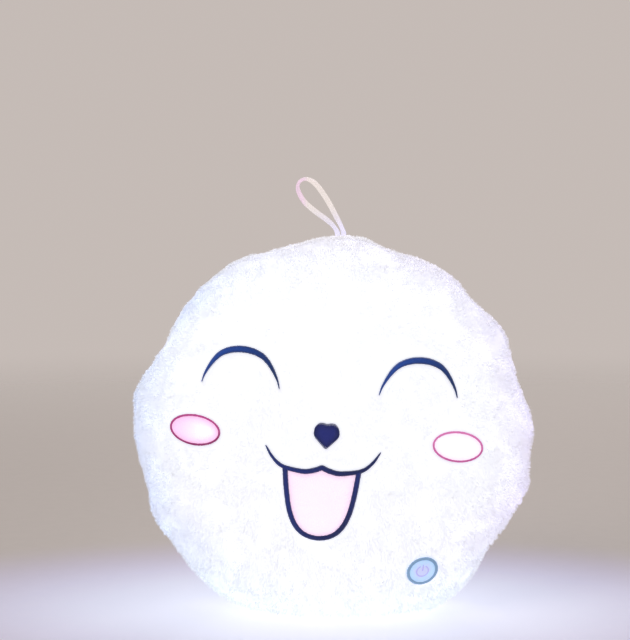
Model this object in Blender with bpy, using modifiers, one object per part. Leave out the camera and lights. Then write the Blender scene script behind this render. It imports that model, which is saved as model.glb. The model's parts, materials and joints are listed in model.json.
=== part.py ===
# Plush night light: a round stuffed cushion with a smiling face. A lamp, a press switch and a battery
# box lie inside the filling, and the box is reached through a zip in the back.
# The face looks along -Y and +Z is up. The cushion stands on the plane z = 0.
import math

import bmesh
import bpy
from mathutils import Matrix, Vector

# Cushion
BODY_WIDTH = 0.350
BODY_DEPTH = 0.168
BODY_CENTRE_HEIGHT = 0.1645
PLUSH_THICKNESS = 0.004
SEAM_DRAW = 0.006
SEAM_GAP = 0.0003
BODY_SEGMENTS = 40
BODY_RINGS = 16
# Rim radius at each angle, counted from +X towards +Z in degrees, as a share of the half width
OUTLINE_SHARES = (
    (0, 1.005), (14, 0.945), (30, 0.967), (41, 0.932), (50, 0.946), (62, 0.930), (71, 0.915),
    (84, 0.942), (100, 0.916), (111, 0.918), (121, 0.945), (140, 0.938), (158, 0.932), (169, 0.992),
    (180, 0.995), (197, 0.974), (208, 0.994), (219, 0.987), (234, 1.012), (250, 1.010), (270, 1.025),
    (290, 1.035), (309, 1.036), (321, 0.985), (332, 0.990), (342, 1.020), (352, 0.998),
)

# Base, pressed flat by the table
PRESS_START_HEIGHT = 0.006
PRESS_LOST_HEIGHT = 0.020
PRESS_CUT_DEPTH = 0.0005
BULGE_HEIGHT = 0.050
BULGE_SHARE = 0.12

# Clearances
FIT_GAP = 0.0003
STUFFING_GAP = 0.0004
SLIDE_GAP = 0.0004
OVERRUN = 0.010

# Face, in its own frame: u to the right, v up, rolled with the cushion
FACE_AT = (-0.0048, BODY_CENTRE_HEIGHT + 0.0005)
FACE_ROLL_DEGREES = -3.5
FELT_THICKNESS = 0.0010
EYE_U = 0.0735
EYE_V = 0.0360
EYE_WIDTH = 0.0650
EYE_HEIGHT = 0.0294
EYE_STROKE = 0.0054
EYE_HALF_SHARES = (
    (1.0, 0.0), (0.95, 0.19), (0.87, 0.375), (0.77, 0.56), (0.65, 0.73), (0.53, 0.845), (0.36, 0.935),
    (0.18, 0.985), (0.0, 1.0),
)
CHEEK_FROM_RIM = 0.0656
CHEEK_U = BODY_WIDTH / 2 - CHEEK_FROM_RIM
CHEEK_V = -0.0046
CHEEK_HALF_WIDTH = 0.0218
CHEEK_HALF_HEIGHT = 0.0130
CHEEK_STROKE = 0.0017
CHEEK_ROLLS_DEGREES = (-2.0, -6.0)
NOSE_HALF_WIDTH = 0.0106
NOSE_HALF_HEIGHT = 0.0108
# Right half of the heart, from its notch to its tip
NOSE_HALF_SHARES = (
    (0.0, 0.93), (0.30, 0.99), (0.62, 0.95), (0.91, 0.64), (1.0, 0.20), (0.92, -0.12), (0.62, -0.48),
    (0.29, -0.80), (0.0, -1.02),
)
MOUTH_U = -0.0020
LIP_V = -0.0306
LIP_HALF_WIDTH = 0.0472
LIP_HEIGHT = 0.0193
# Right half of the lip, from its middle to the corner of the mouth
LIP_HALF_SHARES = ((0.0, 0.20), (0.14, 0.08), (0.33, 0.0), (0.68, 0.155), (0.87, 0.52), (1.0, 1.0))
LIP_STROKE = 0.0043
JAW_HALF_WIDTH = 0.0303
JAW_DROP = 0.0584
JAW_TOP_ABOVE_LIP = 0.0018
# Right half of the jaw, from the lip down to the chin
JAW_HALF_SHARES = ((1.0, 0.0), (0.93, -0.31), (0.83, -0.585), (0.665, -0.80), (0.40, -0.945), (0.0, -1.0))
JAW_STROKE = 0.0043
TAPER_END_SHARE = 0.14
EYE_TAPER_POWER = 1.1
LIP_TAPER_POWER = 0.6
CURVE_STEPS = 4
FINE_TABLE_STEPS = 2
OVAL_STEPS = 28

# Press switch behind the patch, measured inwards from the skin along its own axis
SWITCH_FROM_RIM = 0.0992
SWITCH_BELOW_CENTRE = 0.1182
SWITCH_X = BODY_WIDTH / 2 - SWITCH_FROM_RIM
SWITCH_Z = BODY_CENTRE_HEIGHT - SWITCH_BELOW_CENTRE
SWITCH_TRAVEL = 0.0012
PATCH_RADIUS = 0.0134
PATCH_EDGE_WIDTH = 0.0019
PATCH_PROUD = 0.0003
PATCH_THICKNESS = 0.0012
PATCH_ROUND = 0.0004
CAP_RADIUS = 0.0095
CAP_WALL = 0.0015
CAP_FLANGE_WIDTH = 0.0017
CAP_FLANGE_THICKNESS = 0.0012
POD_TOP_DEPTH = 0.0058
POD_RADIUS = 0.0135
POD_WALL = 0.0015
POD_LIP = 0.0010
POD_DEPTH = 0.0100
SWITCH_BOARD_THICKNESS = 0.0014
TACT_SIDE = 0.0060
TACT_HEIGHT = 0.0034
TACT_STEM_RADIUS = 0.0017
TACT_STEM_DEPTH = 0.0016
TACT_FLOOR = 0.0006

# Lamp in the middle of the filling, facing forwards
LAMP_ABOVE_CENTRE = 0.0205
LAMP_AT = (0.0, 0.004, BODY_CENTRE_HEIGHT + LAMP_ABOVE_CENTRE)
LAMP_RADIUS = 0.030
LAMP_DEPTH = 0.016
LAMP_WALL = 0.0020
LAMP_SHOULDER_WIDTH = 0.0016
LAMP_SHOULDER_DEPTH = 0.0080
LAMP_BOARD_THICKNESS = 0.0016
DOME_FLANGE_THICKNESS = 0.0016
DOME_HEIGHT = 0.0200
DOME_WALL = 0.0018
DOME_SKIRT = 0.0045
LED_COUNT = 4
LED_SIDE = 0.0050
LED_HEIGHT = 0.0018
LED_ROUND = 0.0003
LED_RING_RADIUS = 0.0120
TURNED_STEPS = 24
DOME_STEPS = 6

# Battery box, its cells lying along X
CELL_RADIUS = 0.00725
CELL_LENGTH = 0.0490
CELL_NUB_RADIUS = 0.0027
CELL_NUB_LENGTH = 0.0014
CELL_PITCH = 0.0158
CELL_COUNT = 3
CELL_ROUND = 0.0006
CELL_STEPS = 16
SPRING_LENGTH = 0.0050
SPRING_BASE_RADIUS = 0.0042
SPRING_TIP_RADIUS = 0.0026
SPRING_WIRE_RADIUS = 0.0004
SPRING_TURNS = 2.5
SPRING_POINTS_PER_TURN = 8
PLATE_THICKNESS = 0.0005
PLATE_SIDE = 0.0100
BOX_WALL = 0.0018
BOX_X = -0.0060
BOX_FRONT_Y = 0.0300
RIB_THICKNESS = 0.0008
RIB_HEIGHT_SHARE = 0.35
COVER_THICKNESS = 0.0016
COVER_GROOVE_DEPTH = 0.0009
COVER_LIP = 0.0010
COVER_TRAVEL = 0.0120
GRIP_COUNT = 4
GRIP_PITCH = 0.0026
GRIP_WIDTH = 0.0010
GRIP_LENGTH = 0.0180
GRIP_HEIGHT = 0.0006

# Fabric pocket round the box, drawn in to the zip
POCKET_WALL = 0.0008
POCKET_SPARE = 0.0030
POCKET_STRAIGHT = 0.0220
POCKET_MOUTH_HEIGHT = 0.0240
POCKET_MOUTH_WIDTH = 0.0720

# Zip, along an arc that follows the back
ZIP_BELOW_CENTRE = 0.0525
ZIP_HEIGHT = BODY_CENTRE_HEIGHT - ZIP_BELOW_CENTRE
ZIP_SLOT_LENGTH = 0.110
ZIP_SLOT_HEIGHT = 0.0096
ZIP_TAPE_TAIL = 0.0070
ZIP_TAPE_LENGTH = ZIP_SLOT_LENGTH + 2 * ZIP_TAPE_TAIL
ZIP_TAPE_WIDTH = 0.0120
ZIP_TAPE_THICKNESS = 0.0008
ZIP_TAPE_PARTING = 0.0006
ZIP_TEETH_THICKNESS = 0.0016
ZIP_TOOTH_PITCH = 0.0030
ZIP_TOOTH_WIDTH = 0.0011
ZIP_TOOTH_REACH = 0.0010
ZIP_RAIL_WIDTH = 0.0012
ZIP_END_GAP = 0.0045
ZIP_TEETH_COUNT = int((ZIP_SLOT_LENGTH - 2 * ZIP_END_GAP) / ZIP_TOOTH_PITCH - 0.5)
ZIP_STOP_LENGTH = 0.0025
ZIP_ARC_STEPS = 14
ZIP_STOP_STEPS = 2
SLIDER_LENGTH = 0.0100
SLIDER_HEIGHT = 0.0086
SLIDER_ROOF = 0.0012
SLIDER_CORNER = 0.0012
SLIDER_TOP_ROUND_SHARE = 0.4
BRIDGE_LENGTH = 0.0056
BRIDGE_WIDTH = 0.0016
BRIDGE_RISE = 0.0034
BRIDGE_BAR = 0.0009
BRIDGE_ROUND = 0.0003
PULL_LENGTH = 0.0220
PULL_WIDTH = 0.0060
PULL_THICKNESS = 0.0011
PULL_PIN_RADIUS = 0.0005
PULL_WINDOW_LENGTH = 0.0030
PULL_TIP_RADIUS = 0.0014
PULL_TIP_STEPS = 6
PULL_ARM_SHARE = 0.62

# Leads inside the filling
LEAD_RADIUS = 0.0014
LEAD_SPACING = 0.0070
# Places on the way of each lead: the share of the straight run and the offset from it
LIGHT_LEAD_VIA = (
    (0.360, (-0.0059, 0.0036, 0.0043)),
    (0.670, (-0.0047, 0.0050, 0.0040)),
    (0.938, (-0.0016, 0.0020, 0.0014)),
)
SWITCH_LEAD_VIA = (
    (0.109, (0.0019, 0.0035, -0.0060)),
    (0.370, (0.0034, 0.0052, -0.0080)),
    (0.647, (0.0020, 0.0030, -0.0046)),
    (0.840, (0.0012, 0.0009, 0.0004)),
)
LEAD_RUN_OUT = 0.0080
LIGHT_LEAD_X = -0.0220
SWITCH_LEAD_X = 0.0140

# Hanging loop, a twisted satin band
LOOP_X = 0.0072
LOOP_WIDTH = 0.0046
LOOP_THICKNESS = 0.0008
LOOP_RISE = 0.0008
LOOP_HEIGHT = 0.0491
LOOP_ROOT_SPACING = 0.0052
LOOP_STEPS = 2
# Course of the band between its two ends, across and up, as shares of the loop's height
LOOP_SHARES = (
    (0.041, 0.083), (-0.006, 0.197), (-0.075, 0.328), (-0.214, 0.589), (-0.338, 0.780), (-0.446, 0.913),
    (-0.544, 0.983), (-0.639, 1.0), (-0.722, 0.959), (-0.759, 0.878), (-0.743, 0.770), (-0.654, 0.616),
    (-0.544, 0.506), (-0.405, 0.396), (-0.270, 0.301), (-0.145, 0.191), (-0.071, 0.083),
)
# How far the band's face turns out of the plane of the loop, at even steps along it
LOOP_TURNS_DEGREES = (8, 50, 16, 4, 30, 62, 60, 34, 6, 16, 50, 8)
TACK_LENGTH = 0.0100
TACK_WIDTH = 0.0024
TACK_HEIGHT = 0.0060
TACK_PROUD = 0.0006
TACK_ROUND = 0.0006

HALF_DEPTH = BODY_DEPTH / 2
# The rim ring is drawn in, so the next ring is the widest
WIDEST_RING_SHARE = math.cos(math.pi / BODY_RINGS)
HALF_WIDTH = BODY_WIDTH / 2 / WIDEST_RING_SHARE
SEAM_REACH_SHARE = math.sin(math.pi / BODY_RINGS)
FULL_TURN = 360
MERGE = 0.00001
SEARCH_STEPS = 40
SKIN_PROBE = 0.001
ROUND_SEGMENTS = 2


# Scene and small helpers
def clear_scene():
    for thing in list(bpy.data.objects):
        bpy.data.objects.remove(thing, do_unlink=True)


def new_collection(name):
    collection = bpy.data.collections.new(name)
    bpy.context.scene.collection.children.link(collection)
    return collection


clear_scene()
PARTS = new_collection("plush_night_light")
CUTTERS = new_collection("cutters")


def add_object(name, bm, smooth_degrees=0):
    mesh = bpy.data.meshes.new(name)
    bmesh.ops.recalc_face_normals(bm, faces=bm.faces)
    bm.to_mesh(mesh)
    bm.free()
    if smooth_degrees:
        mesh.shade_smooth()
        mesh.set_sharp_from_angle(angle=math.radians(smooth_degrees))
    thing = bpy.data.objects.new(name, mesh)
    PARTS.objects.link(thing)
    return thing


def as_cutter(thing):
    PARTS.objects.unlink(thing)
    CUTTERS.objects.link(thing)
    thing.hide_render = True
    thing.display_type = "WIRE"
    return thing


def boolean(target, tool, operation="DIFFERENCE"):
    modifier = target.modifiers.new(tool.name, "BOOLEAN")
    modifier.operation = operation
    modifier.solver = "EXACT"
    modifier.object = tool
    return target


def finish(thing, colour, roughness, metallic=0.0):
    material = bpy.data.materials.new(thing.name)
    material.use_nodes = True
    shader = material.node_tree.nodes["Principled BSDF"]
    shader.inputs["Base Color"].default_value = (*colour, 1.0)
    shader.inputs["Roughness"].default_value = roughness
    shader.inputs["Metallic"].default_value = metallic
    thing.data.materials.append(material)
    return thing


def carry(thing, parent):
    # Parents a piece where it is
    bpy.context.view_layer.update()
    thing.parent = parent
    thing.matrix_parent_inverse = parent.matrix_world.inverted()


def box(name, low, high, bevel=0.0):
    bm = bmesh.new()
    bmesh.ops.create_cube(bm, size=1.0)
    size = [high[i] - low[i] for i in range(3)]
    bmesh.ops.scale(bm, vec=size, verts=bm.verts)
    bmesh.ops.translate(bm, vec=[(high[i] + low[i]) / 2 for i in range(3)], verts=bm.verts)
    thing = add_object(name, bm)
    if bevel:
        modifier = thing.modifiers.new("rounded", "BEVEL")
        modifier.width = bevel
        modifier.segments = ROUND_SEGMENTS
    return thing


def turned(name, profile, steps=TURNED_STEPS):
    # A profile of (radius, height) points, listed from the top of its outer side to the bottom
    bm = bmesh.new()
    verts = [bm.verts.new((radius, 0.0, height)) for radius, height in profile]
    closed = profile[0][0] > 0
    for first, second in zip(verts, verts[1:]):
        bm.edges.new((first, second))
    if closed:
        bm.edges.new((verts[-1], verts[0]))
    mesh = bpy.data.meshes.new(name)
    bm.to_mesh(mesh)
    bm.free()
    thing = bpy.data.objects.new(name, mesh)
    PARTS.objects.link(thing)
    screw = thing.modifiers.new("turned", "SCREW")
    screw.steps = steps
    screw.render_steps = steps
    screw.use_merge_vertices = True
    screw.merge_threshold = MERGE
    screw.use_smooth_shade = True
    return thing


def smooth_path(points, steps):
    # Catmull-Rom curve through the points, with the given number of steps between two of them
    points = [Vector(point) for point in points]
    padded = [points[0] * 2 - points[1], *points, points[-1] * 2 - points[-2]]
    path = []
    for a, b, c, d in zip(padded, padded[1:], padded[2:], padded[3:]):
        for step in range(steps):
            t = step / steps
            bend = (a * 2 - b * 5 + c * 4 - d) * t * t
            twist = (b * 3 - a - c * 3 + d) * t**3
            path.append((b * 2 + (c - a) * t + bend + twist) / 2)
    path.append(points[-1])
    return path


def even_path(points, spacing):
    # The same curve, read at even spacing
    fine = smooth_path(points, CURVE_STEPS * CURVE_STEPS)
    lengths = [0.0]
    for first, second in zip(fine, fine[1:]):
        lengths.append(lengths[-1] + (second - first).length)
    count = max(2, round(lengths[-1] / spacing))
    path = []
    index = 0
    for step in range(count + 1):
        wanted = lengths[-1] * step / count
        while index < len(fine) - 2 and lengths[index + 1] < wanted:
            index += 1
        share = (wanted - lengths[index]) / (lengths[index + 1] - lengths[index])
        path.append(fine[index].lerp(fine[index + 1], share))
    return path


def tube(name, path, radius, bevel_resolution=2):
    curve = bpy.data.curves.new(name, "CURVE")
    curve.dimensions = "3D"
    curve.bevel_depth = radius
    curve.bevel_resolution = bevel_resolution
    curve.use_fill_caps = True
    spline = curve.splines.new("POLY")
    spline.points.add(len(path) - 1)
    for point, place in zip(spline.points, path):
        point.co = (*place, 1.0)
    thing = bpy.data.objects.new(name, curve)
    PARTS.objects.link(thing)
    return as_mesh(thing)


def as_mesh(thing):
    # A curve takes no Boolean, so its evaluated shape becomes a mesh object of the same name
    bpy.context.view_layer.update()
    evaluated = thing.evaluated_get(bpy.context.evaluated_depsgraph_get())
    mesh = bpy.data.meshes.new_from_object(evaluated)
    name = thing.name
    place = thing.matrix_world.copy()
    bpy.data.objects.remove(thing, do_unlink=True)
    bm = bmesh.new()
    bm.from_mesh(mesh)
    bmesh.ops.remove_doubles(bm, verts=bm.verts, dist=MERGE)
    bmesh.ops.recalc_face_normals(bm, faces=bm.faces)
    bm.to_mesh(mesh)
    bm.free()
    solid = bpy.data.objects.new(name, mesh)
    PARTS.objects.link(solid)
    solid.matrix_world = place
    return solid


def flat_outline(name, outlines, half_thickness):
    # Filled 2D outlines in the XY plane, given thickness along Z
    curve = bpy.data.curves.new(name, "CURVE")
    curve.dimensions = "2D"
    curve.fill_mode = "BOTH"
    curve.extrude = half_thickness
    for outline in outlines:
        spline = curve.splines.new("POLY")
        spline.points.add(len(outline) - 1)
        for point, place in zip(spline.points, outline):
            point.co = (place[0], place[1], 0.0, 1.0)
        spline.use_cyclic_u = True
    thing = bpy.data.objects.new(name, curve)
    PARTS.objects.link(thing)
    return thing


# Shape of the cushion
def outline_share(angle):
    # Smooth closed curve through the hand-chosen shares
    degrees = math.degrees(angle) % FULL_TURN
    count = len(OUTLINE_SHARES)
    knots = [
        (OUTLINE_SHARES[i % count][0] + FULL_TURN * (i // count), OUTLINE_SHARES[i % count][1])
        for i in range(-2, count + 2)
    ]
    for before, start, end, after in zip(knots, knots[1:], knots[2:], knots[3:]):
        if start[0] <= degrees < end[0]:
            break
    span = end[0] - start[0]
    t = (degrees - start[0]) / span
    slope_in = (end[1] - before[1]) / (end[0] - before[0]) * span
    slope_out = (after[1] - start[1]) / (after[0] - start[0]) * span
    return (
        start[1] * (2 * t**3 - 3 * t**2 + 1)
        + slope_in * (t**3 - 2 * t**2 + t)
        + end[1] * (3 * t**2 - 2 * t**3)
        + slope_out * (t**3 - t**2)
    )


def rim_radius(rim_share, angle):
    # Round in the middle of each face, and the rim's own outline towards the seam
    return HALF_WIDTH * rim_share * (1 + (outline_share(angle) - 1) * rim_share**2)


def pressed(point):
    # The table flattens the base and spreads it forwards and backwards
    low_share = min(1.0, max(0.0, (BULGE_HEIGHT - point.z) / BULGE_HEIGHT))
    point.y *= 1 + BULGE_SHARE * low_share**2
    if point.z < PRESS_START_HEIGHT:
        rounding = (PRESS_START_HEIGHT + PRESS_LOST_HEIGHT) / (PRESS_START_HEIGHT + PRESS_CUT_DEPTH)
        drop_share = (PRESS_START_HEIGHT - point.z) / (PRESS_START_HEIGHT + PRESS_LOST_HEIGHT)
        kept_share = (1 - min(1.0, drop_share)) ** rounding
        point.z = PRESS_START_HEIGHT - (PRESS_START_HEIGHT + PRESS_CUT_DEPTH) * (1 - kept_share)
    return point


def body_point(direction):
    rim_share = min(1.0, math.hypot(direction.x, direction.z))
    angle = math.atan2(direction.z, direction.x)
    radius = rim_radius(rim_share, angle)
    radius -= SEAM_DRAW * max(0.0, 1 - abs(direction.y) / SEAM_REACH_SHARE)
    x = radius * math.cos(angle)
    z = BODY_CENTRE_HEIGHT + radius * math.sin(angle)
    return pressed(Vector((x, HALF_DEPTH * direction.y, z)))


def skin_point(x, z, side):
    # The place on the front (side -1) or the back (side 1) at a given x and z
    angle = math.atan2(z - BODY_CENTRE_HEIGHT, x)
    wanted = math.hypot(x, z - BODY_CENTRE_HEIGHT)
    low, high = 0.0, 1.0
    for _ in range(SEARCH_STEPS):
        middle = (low + high) / 2
        if rim_radius(middle, angle) < wanted:
            low = middle
        else:
            high = middle
    return pressed(Vector((x, side * HALF_DEPTH * math.sqrt(1 - low**2), z)))


def skin_normal(x, z, side):
    across = skin_point(x + SKIN_PROBE, z, side) - skin_point(x - SKIN_PROBE, z, side)
    along = skin_point(x, z + SKIN_PROBE, side) - skin_point(x, z - SKIN_PROBE, side)
    normal = across.cross(along).normalized()
    return normal if normal.y * side > 0 else -normal


def cushion(name, offset):
    # The whole cushion's form, grown or shrunk by the offset along its skin's normals
    bm = bmesh.new()
    bmesh.ops.create_uvsphere(bm, u_segments=BODY_SEGMENTS, v_segments=BODY_RINGS, radius=1.0)
    bmesh.ops.rotate(bm, matrix=Matrix.Rotation(math.pi / 2, 3, "X"), verts=bm.verts)
    for vert in bm.verts:
        vert.co = body_point(vert.co.normalized())
    bm.normal_update()
    places = [vert.co + vert.normal * offset for vert in bm.verts]
    for vert, place in zip(bm.verts, places):
        vert.co = place
    # The same diagonals on every copy, so that grown and shrunk forms stay parallel
    bmesh.ops.triangulate(bm, faces=bm.faces, quad_method="FIXED")
    return add_object(name, bm, smooth_degrees=60)


REACH = BODY_WIDTH + OVERRUN


def front_side():
    # Everything in front of the seam, with half the seam's gap
    return as_cutter(box("front_side", (-REACH, -REACH, -REACH), (REACH, SEAM_GAP / 2, REACH * 2)))


def back_side():
    return as_cutter(box("back_side", (-REACH, -SEAM_GAP / 2, -REACH), (REACH, REACH, REACH * 2)))


def table():
    return as_cutter(box("table", (-REACH, -REACH, -REACH), (REACH, REACH, 0.0)))


# Zip arc, found from the back's own curve at the height of the zip
def zip_arc():
    middle = skin_point(0.0, ZIP_HEIGHT, 1).y
    ends = [skin_point(side * ZIP_SLOT_LENGTH / 2, ZIP_HEIGHT, 1).y for side in (-1, 1)]
    sag = middle - sum(ends) / 2
    radius = ((ZIP_SLOT_LENGTH / 2) ** 2 + sag**2) / (2 * sag)
    return radius, middle - radius


ZIP_RADIUS, ZIP_CENTRE_Y = zip_arc()
ZIP_TAPE_OUT = ZIP_RADIUS - PLUSH_THICKNESS - FIT_GAP
ZIP_TAPE_IN = ZIP_TAPE_OUT - ZIP_TAPE_THICKNESS
ZIP_TEETH_IN = ZIP_TAPE_OUT + FIT_GAP
ZIP_TEETH_OUT = ZIP_TEETH_IN + ZIP_TEETH_THICKNESS


def on_zip(along, radius, z):
    angle = along / ZIP_RADIUS
    return Vector((radius * math.sin(angle), ZIP_CENTRE_Y + radius * math.cos(angle), z))


def arc_bar(name, start, end, inner, outer, low, high, steps=ZIP_ARC_STEPS):
    # A bar of rectangular section, swept along the zip's arc
    bm = bmesh.new()
    section = ((inner, low), (outer, low), (outer, high), (inner, high))
    face = bm.faces.new([bm.verts.new(on_zip(start, radius, z)) for radius, z in section])
    bmesh.ops.spin(
        bm,
        geom=[face, *face.edges, *face.verts],
        cent=(0.0, ZIP_CENTRE_Y, 0.0),
        axis=(0.0, 0.0, 1.0),
        angle=(start - end) / ZIP_RADIUS,
        steps=steps,
    )
    return add_object(name, bm)


def zip_tapes():
    half = ZIP_TAPE_LENGTH / 2
    near = ZIP_TAPE_PARTING / 2
    far = near + ZIP_TAPE_WIDTH
    for name, low, high in (("zip_tape_upper", near, far), ("zip_tape_lower", -far, -near)):
        tape = arc_bar(name, -half, half, ZIP_TAPE_IN, ZIP_TAPE_OUT, ZIP_HEIGHT + low, ZIP_HEIGHT + high)
        finish(tape, (0.86, 0.88, 0.90), 0.85)


def zip_teeth():
    # Each row is a rail with teeth that reach past the middle, half a pitch apart, so the rows mesh
    length = ZIP_TOOTH_PITCH * (ZIP_TEETH_COUNT + 0.5)
    rail_near = ZIP_TOOTH_REACH + FIT_GAP
    rail_far = rail_near + ZIP_RAIL_WIDTH
    middle = (ZIP_TEETH_IN + ZIP_TEETH_OUT) / 2
    tooth_inset = (ZIP_TOOTH_PITCH / 2 - ZIP_TOOTH_WIDTH) / 2
    for name, side, shift in (("zip_teeth_upper", 1, 0.0), ("zip_teeth_lower", -1, ZIP_TOOTH_PITCH / 2)):
        bm = bmesh.new()
        rail = []
        for tooth in range(ZIP_TEETH_COUNT):
            start = -length / 2 + shift + tooth * ZIP_TOOTH_PITCH + tooth_inset
            columns = []
            for along in (start, start + ZIP_TOOTH_WIDTH):
                levels = (-ZIP_TOOTH_REACH * side, rail_near * side, rail_far * side)
                columns.append([bm.verts.new(on_zip(along, middle, ZIP_HEIGHT + level)) for level in levels])
            near, far = columns
            bm.faces.new((near[0], far[0], far[1], near[1]))
            rail += columns
        for before, after in zip(rail, rail[1:]):
            bm.faces.new((before[1], after[1], after[2], before[2]))
        row = add_object(name, bm)
        thickness = row.modifiers.new("thickness", "SOLIDIFY")
        thickness.thickness = ZIP_TEETH_THICKNESS
        thickness.offset = 0.0
        finish(row, (0.90, 0.91, 0.93), 0.35)
    return length


def zip_stops(teeth_length):
    reach = ZIP_TOOTH_REACH + FIT_GAP + ZIP_RAIL_WIDTH
    near = teeth_length / 2 + FIT_GAP
    far = near + ZIP_STOP_LENGTH
    low = ZIP_HEIGHT - reach
    high = ZIP_HEIGHT + reach
    for name, start, end in (("zip_stop_start", -far, -near), ("zip_stop_end", near, far)):
        stop = arc_bar(name, start, end, ZIP_TEETH_IN, ZIP_TEETH_OUT, low, high, ZIP_STOP_STEPS)
        finish(stop, (0.90, 0.91, 0.93), 0.35)


def zip_slider(teeth_length):
    # The slider straddles the teeth at the closed end, and its bridge carries the pull
    start = teeth_length / 2 - SLIDER_LENGTH / 2
    angle = start / ZIP_RADIUS
    axis = bpy.data.objects.new("slider_axis", None)
    PARTS.objects.link(axis)
    axis.location = (0.0, ZIP_CENTRE_Y, ZIP_HEIGHT)
    # Local frame of the slider: X along the zip, Y outwards
    turn = Matrix.Translation(axis.location) @ Matrix.Rotation(-angle, 4, "Z")
    channel_half = ZIP_TOOTH_REACH + FIT_GAP + ZIP_RAIL_WIDTH + SLIDE_GAP
    roof_in = ZIP_TEETH_OUT + SLIDE_GAP
    roof_out = roof_in + SLIDER_ROOF
    half = SLIDER_HEIGHT / 2
    body = box(
        "zip_slider",
        (-SLIDER_LENGTH / 2, ZIP_TEETH_IN + FIT_GAP, -half),
        (SLIDER_LENGTH / 2, roof_out, half),
    )
    rounded = body.modifiers.new("rounded", "BEVEL")
    rounded.width = SLIDER_CORNER
    rounded.segments = ROUND_SEGMENTS
    rounded.limit_method = "WEIGHT"
    weights = body.data.attributes.new("bevel_weight_edge", "FLOAT", "EDGE")
    for edge in body.data.edges:
        ends = [body.data.vertices[i].co for i in edge.vertices]
        if abs(ends[0].y - ends[1].y) > SLIDER_ROOF / 2 or min(ends[0].y, ends[1].y) > roof_in:
            upright = abs(ends[0].y - ends[1].y) > SLIDER_ROOF / 2
            weights.data[edge.index].value = 1.0 if upright else SLIDER_TOP_ROUND_SHARE
    channel = as_cutter(
        box("slider_channel", (-SLIDER_LENGTH, 0.0, -channel_half), (SLIDER_LENGTH, roof_in, channel_half))
    )
    # A bridge over the roof, with a window for the pull's pin
    pivot = roof_out + BRIDGE_RISE - BRIDGE_BAR - PULL_PIN_RADIUS - FIT_GAP
    bridge = as_cutter(
        box(
            "slider_bridge",
            (-BRIDGE_LENGTH / 2, roof_out - SLIDER_ROOF / 2, -BRIDGE_WIDTH / 2),
            (BRIDGE_LENGTH / 2, roof_out + BRIDGE_RISE, BRIDGE_WIDTH / 2),
            bevel=BRIDGE_ROUND,
        )
    )
    window = as_cutter(
        box(
            "slider_window",
            (-BRIDGE_LENGTH / 2 + BRIDGE_BAR, roof_out, -BRIDGE_WIDTH),
            (BRIDGE_LENGTH / 2 - BRIDGE_BAR, roof_out + BRIDGE_RISE - BRIDGE_BAR, BRIDGE_WIDTH),
        )
    )
    boolean(body, channel)
    boolean(body, bridge, "UNION")
    boolean(body, window)
    for piece in (body, channel, bridge, window):
        piece.matrix_world = turn
    finish(body, (0.82, 0.83, 0.85), 0.3, 1.0)
    carry(body, axis)
    zip_pull(turn, pivot, body)
    return pivot


def zip_pull(turn, pivot, slider):
    # A tab with a window at its root, whose pin passes through the slider's bridge
    half = PULL_WIDTH / 2
    eye_half = BRIDGE_WIDTH / 2 + FIT_GAP
    tip = -PULL_LENGTH
    root = PULL_PIN_RADIUS
    window_far = -PULL_WINDOW_LENGTH - PULL_PIN_RADIUS
    corner = PULL_TIP_RADIUS
    arm = half * PULL_ARM_SHARE
    outline = [(root, -arm), (root, arm), (window_far, arm), (window_far - corner, half)]
    for side in (1, -1):
        for step in range(PULL_TIP_STEPS // 2 + 1):
            round_angle = math.pi / 2 * step / (PULL_TIP_STEPS // 2)
            if side < 0:
                round_angle = math.pi / 2 - round_angle
            x = tip + corner - corner * math.sin(round_angle)
            outline.append((x, side * (half - corner + corner * math.cos(round_angle))))
    outline += [(window_far - corner, -half), (window_far, -arm)]
    tab = as_mesh(flat_outline("zip_pull", [outline], PULL_THICKNESS / 2))
    window_low = (window_far, -eye_half, -PULL_THICKNESS)
    window_high = (-PULL_PIN_RADIUS, eye_half, PULL_THICKNESS)
    cutters = [as_cutter(box("pull_window", window_low, window_high))]
    # The pin's own stretch is as thin as the bridge's window asks
    for name, low, high in (
        ("pin_relief_front", PULL_PIN_RADIUS, PULL_THICKNESS),
        ("pin_relief_back", -PULL_THICKNESS, -PULL_PIN_RADIUS),
    ):
        relief = box(name, (-PULL_PIN_RADIUS - MERGE, -eye_half, low), (root + OVERRUN, eye_half, high))
        cutters.append(as_cutter(relief))
    flat = Matrix.Rotation(math.pi / 2, 4, "X")
    place = turn @ Matrix.Translation((0.0, pivot, 0.0)) @ flat
    for piece in (tab, *cutters):
        piece.matrix_world = place
    for cutter in cutters:
        boolean(tab, cutter)
    finish(tab, (0.82, 0.83, 0.85), 0.3, 1.0)
    carry(tab, slider)


# Face
def face_place(u, v):
    roll = math.radians(FACE_ROLL_DEGREES)
    x = FACE_AT[0] + u * math.cos(roll) - v * math.sin(roll)
    z = FACE_AT[1] + u * math.sin(roll) + v * math.cos(roll)
    return x, z


def stroke_outline(path, width, taper_power):
    # Both sides of a stitched line, in the face's own frame; its ends taper unless the power is 0
    left, right = [], []
    for index, point in enumerate(path):
        before = path[max(0, index - 1)]
        after = path[min(len(path) - 1, index + 1)]
        direction = (after - before).normalized()
        normal = Vector((-direction.y, direction.x))
        share = 1.0
        if taper_power:
            swell = max(0.0, math.sin(math.pi * index / (len(path) - 1)))
            share = TAPER_END_SHARE + (1 - TAPER_END_SHARE) * swell**taper_power
        left.append(point + normal * width * share / 2)
        right.append(point - normal * width * share / 2)
    return left + right[::-1]


def oval(u, v, half_width, half_height, roll_degrees):
    roll = math.radians(roll_degrees)
    outline = []
    for step in range(OVAL_STEPS):
        angle = 2 * math.pi * step / OVAL_STEPS
        across = half_width * math.cos(angle)
        up = half_height * math.sin(angle)
        x = u + across * math.cos(roll) - up * math.sin(roll)
        outline.append((x, v + across * math.sin(roll) + up * math.cos(roll)))
    return outline


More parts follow.
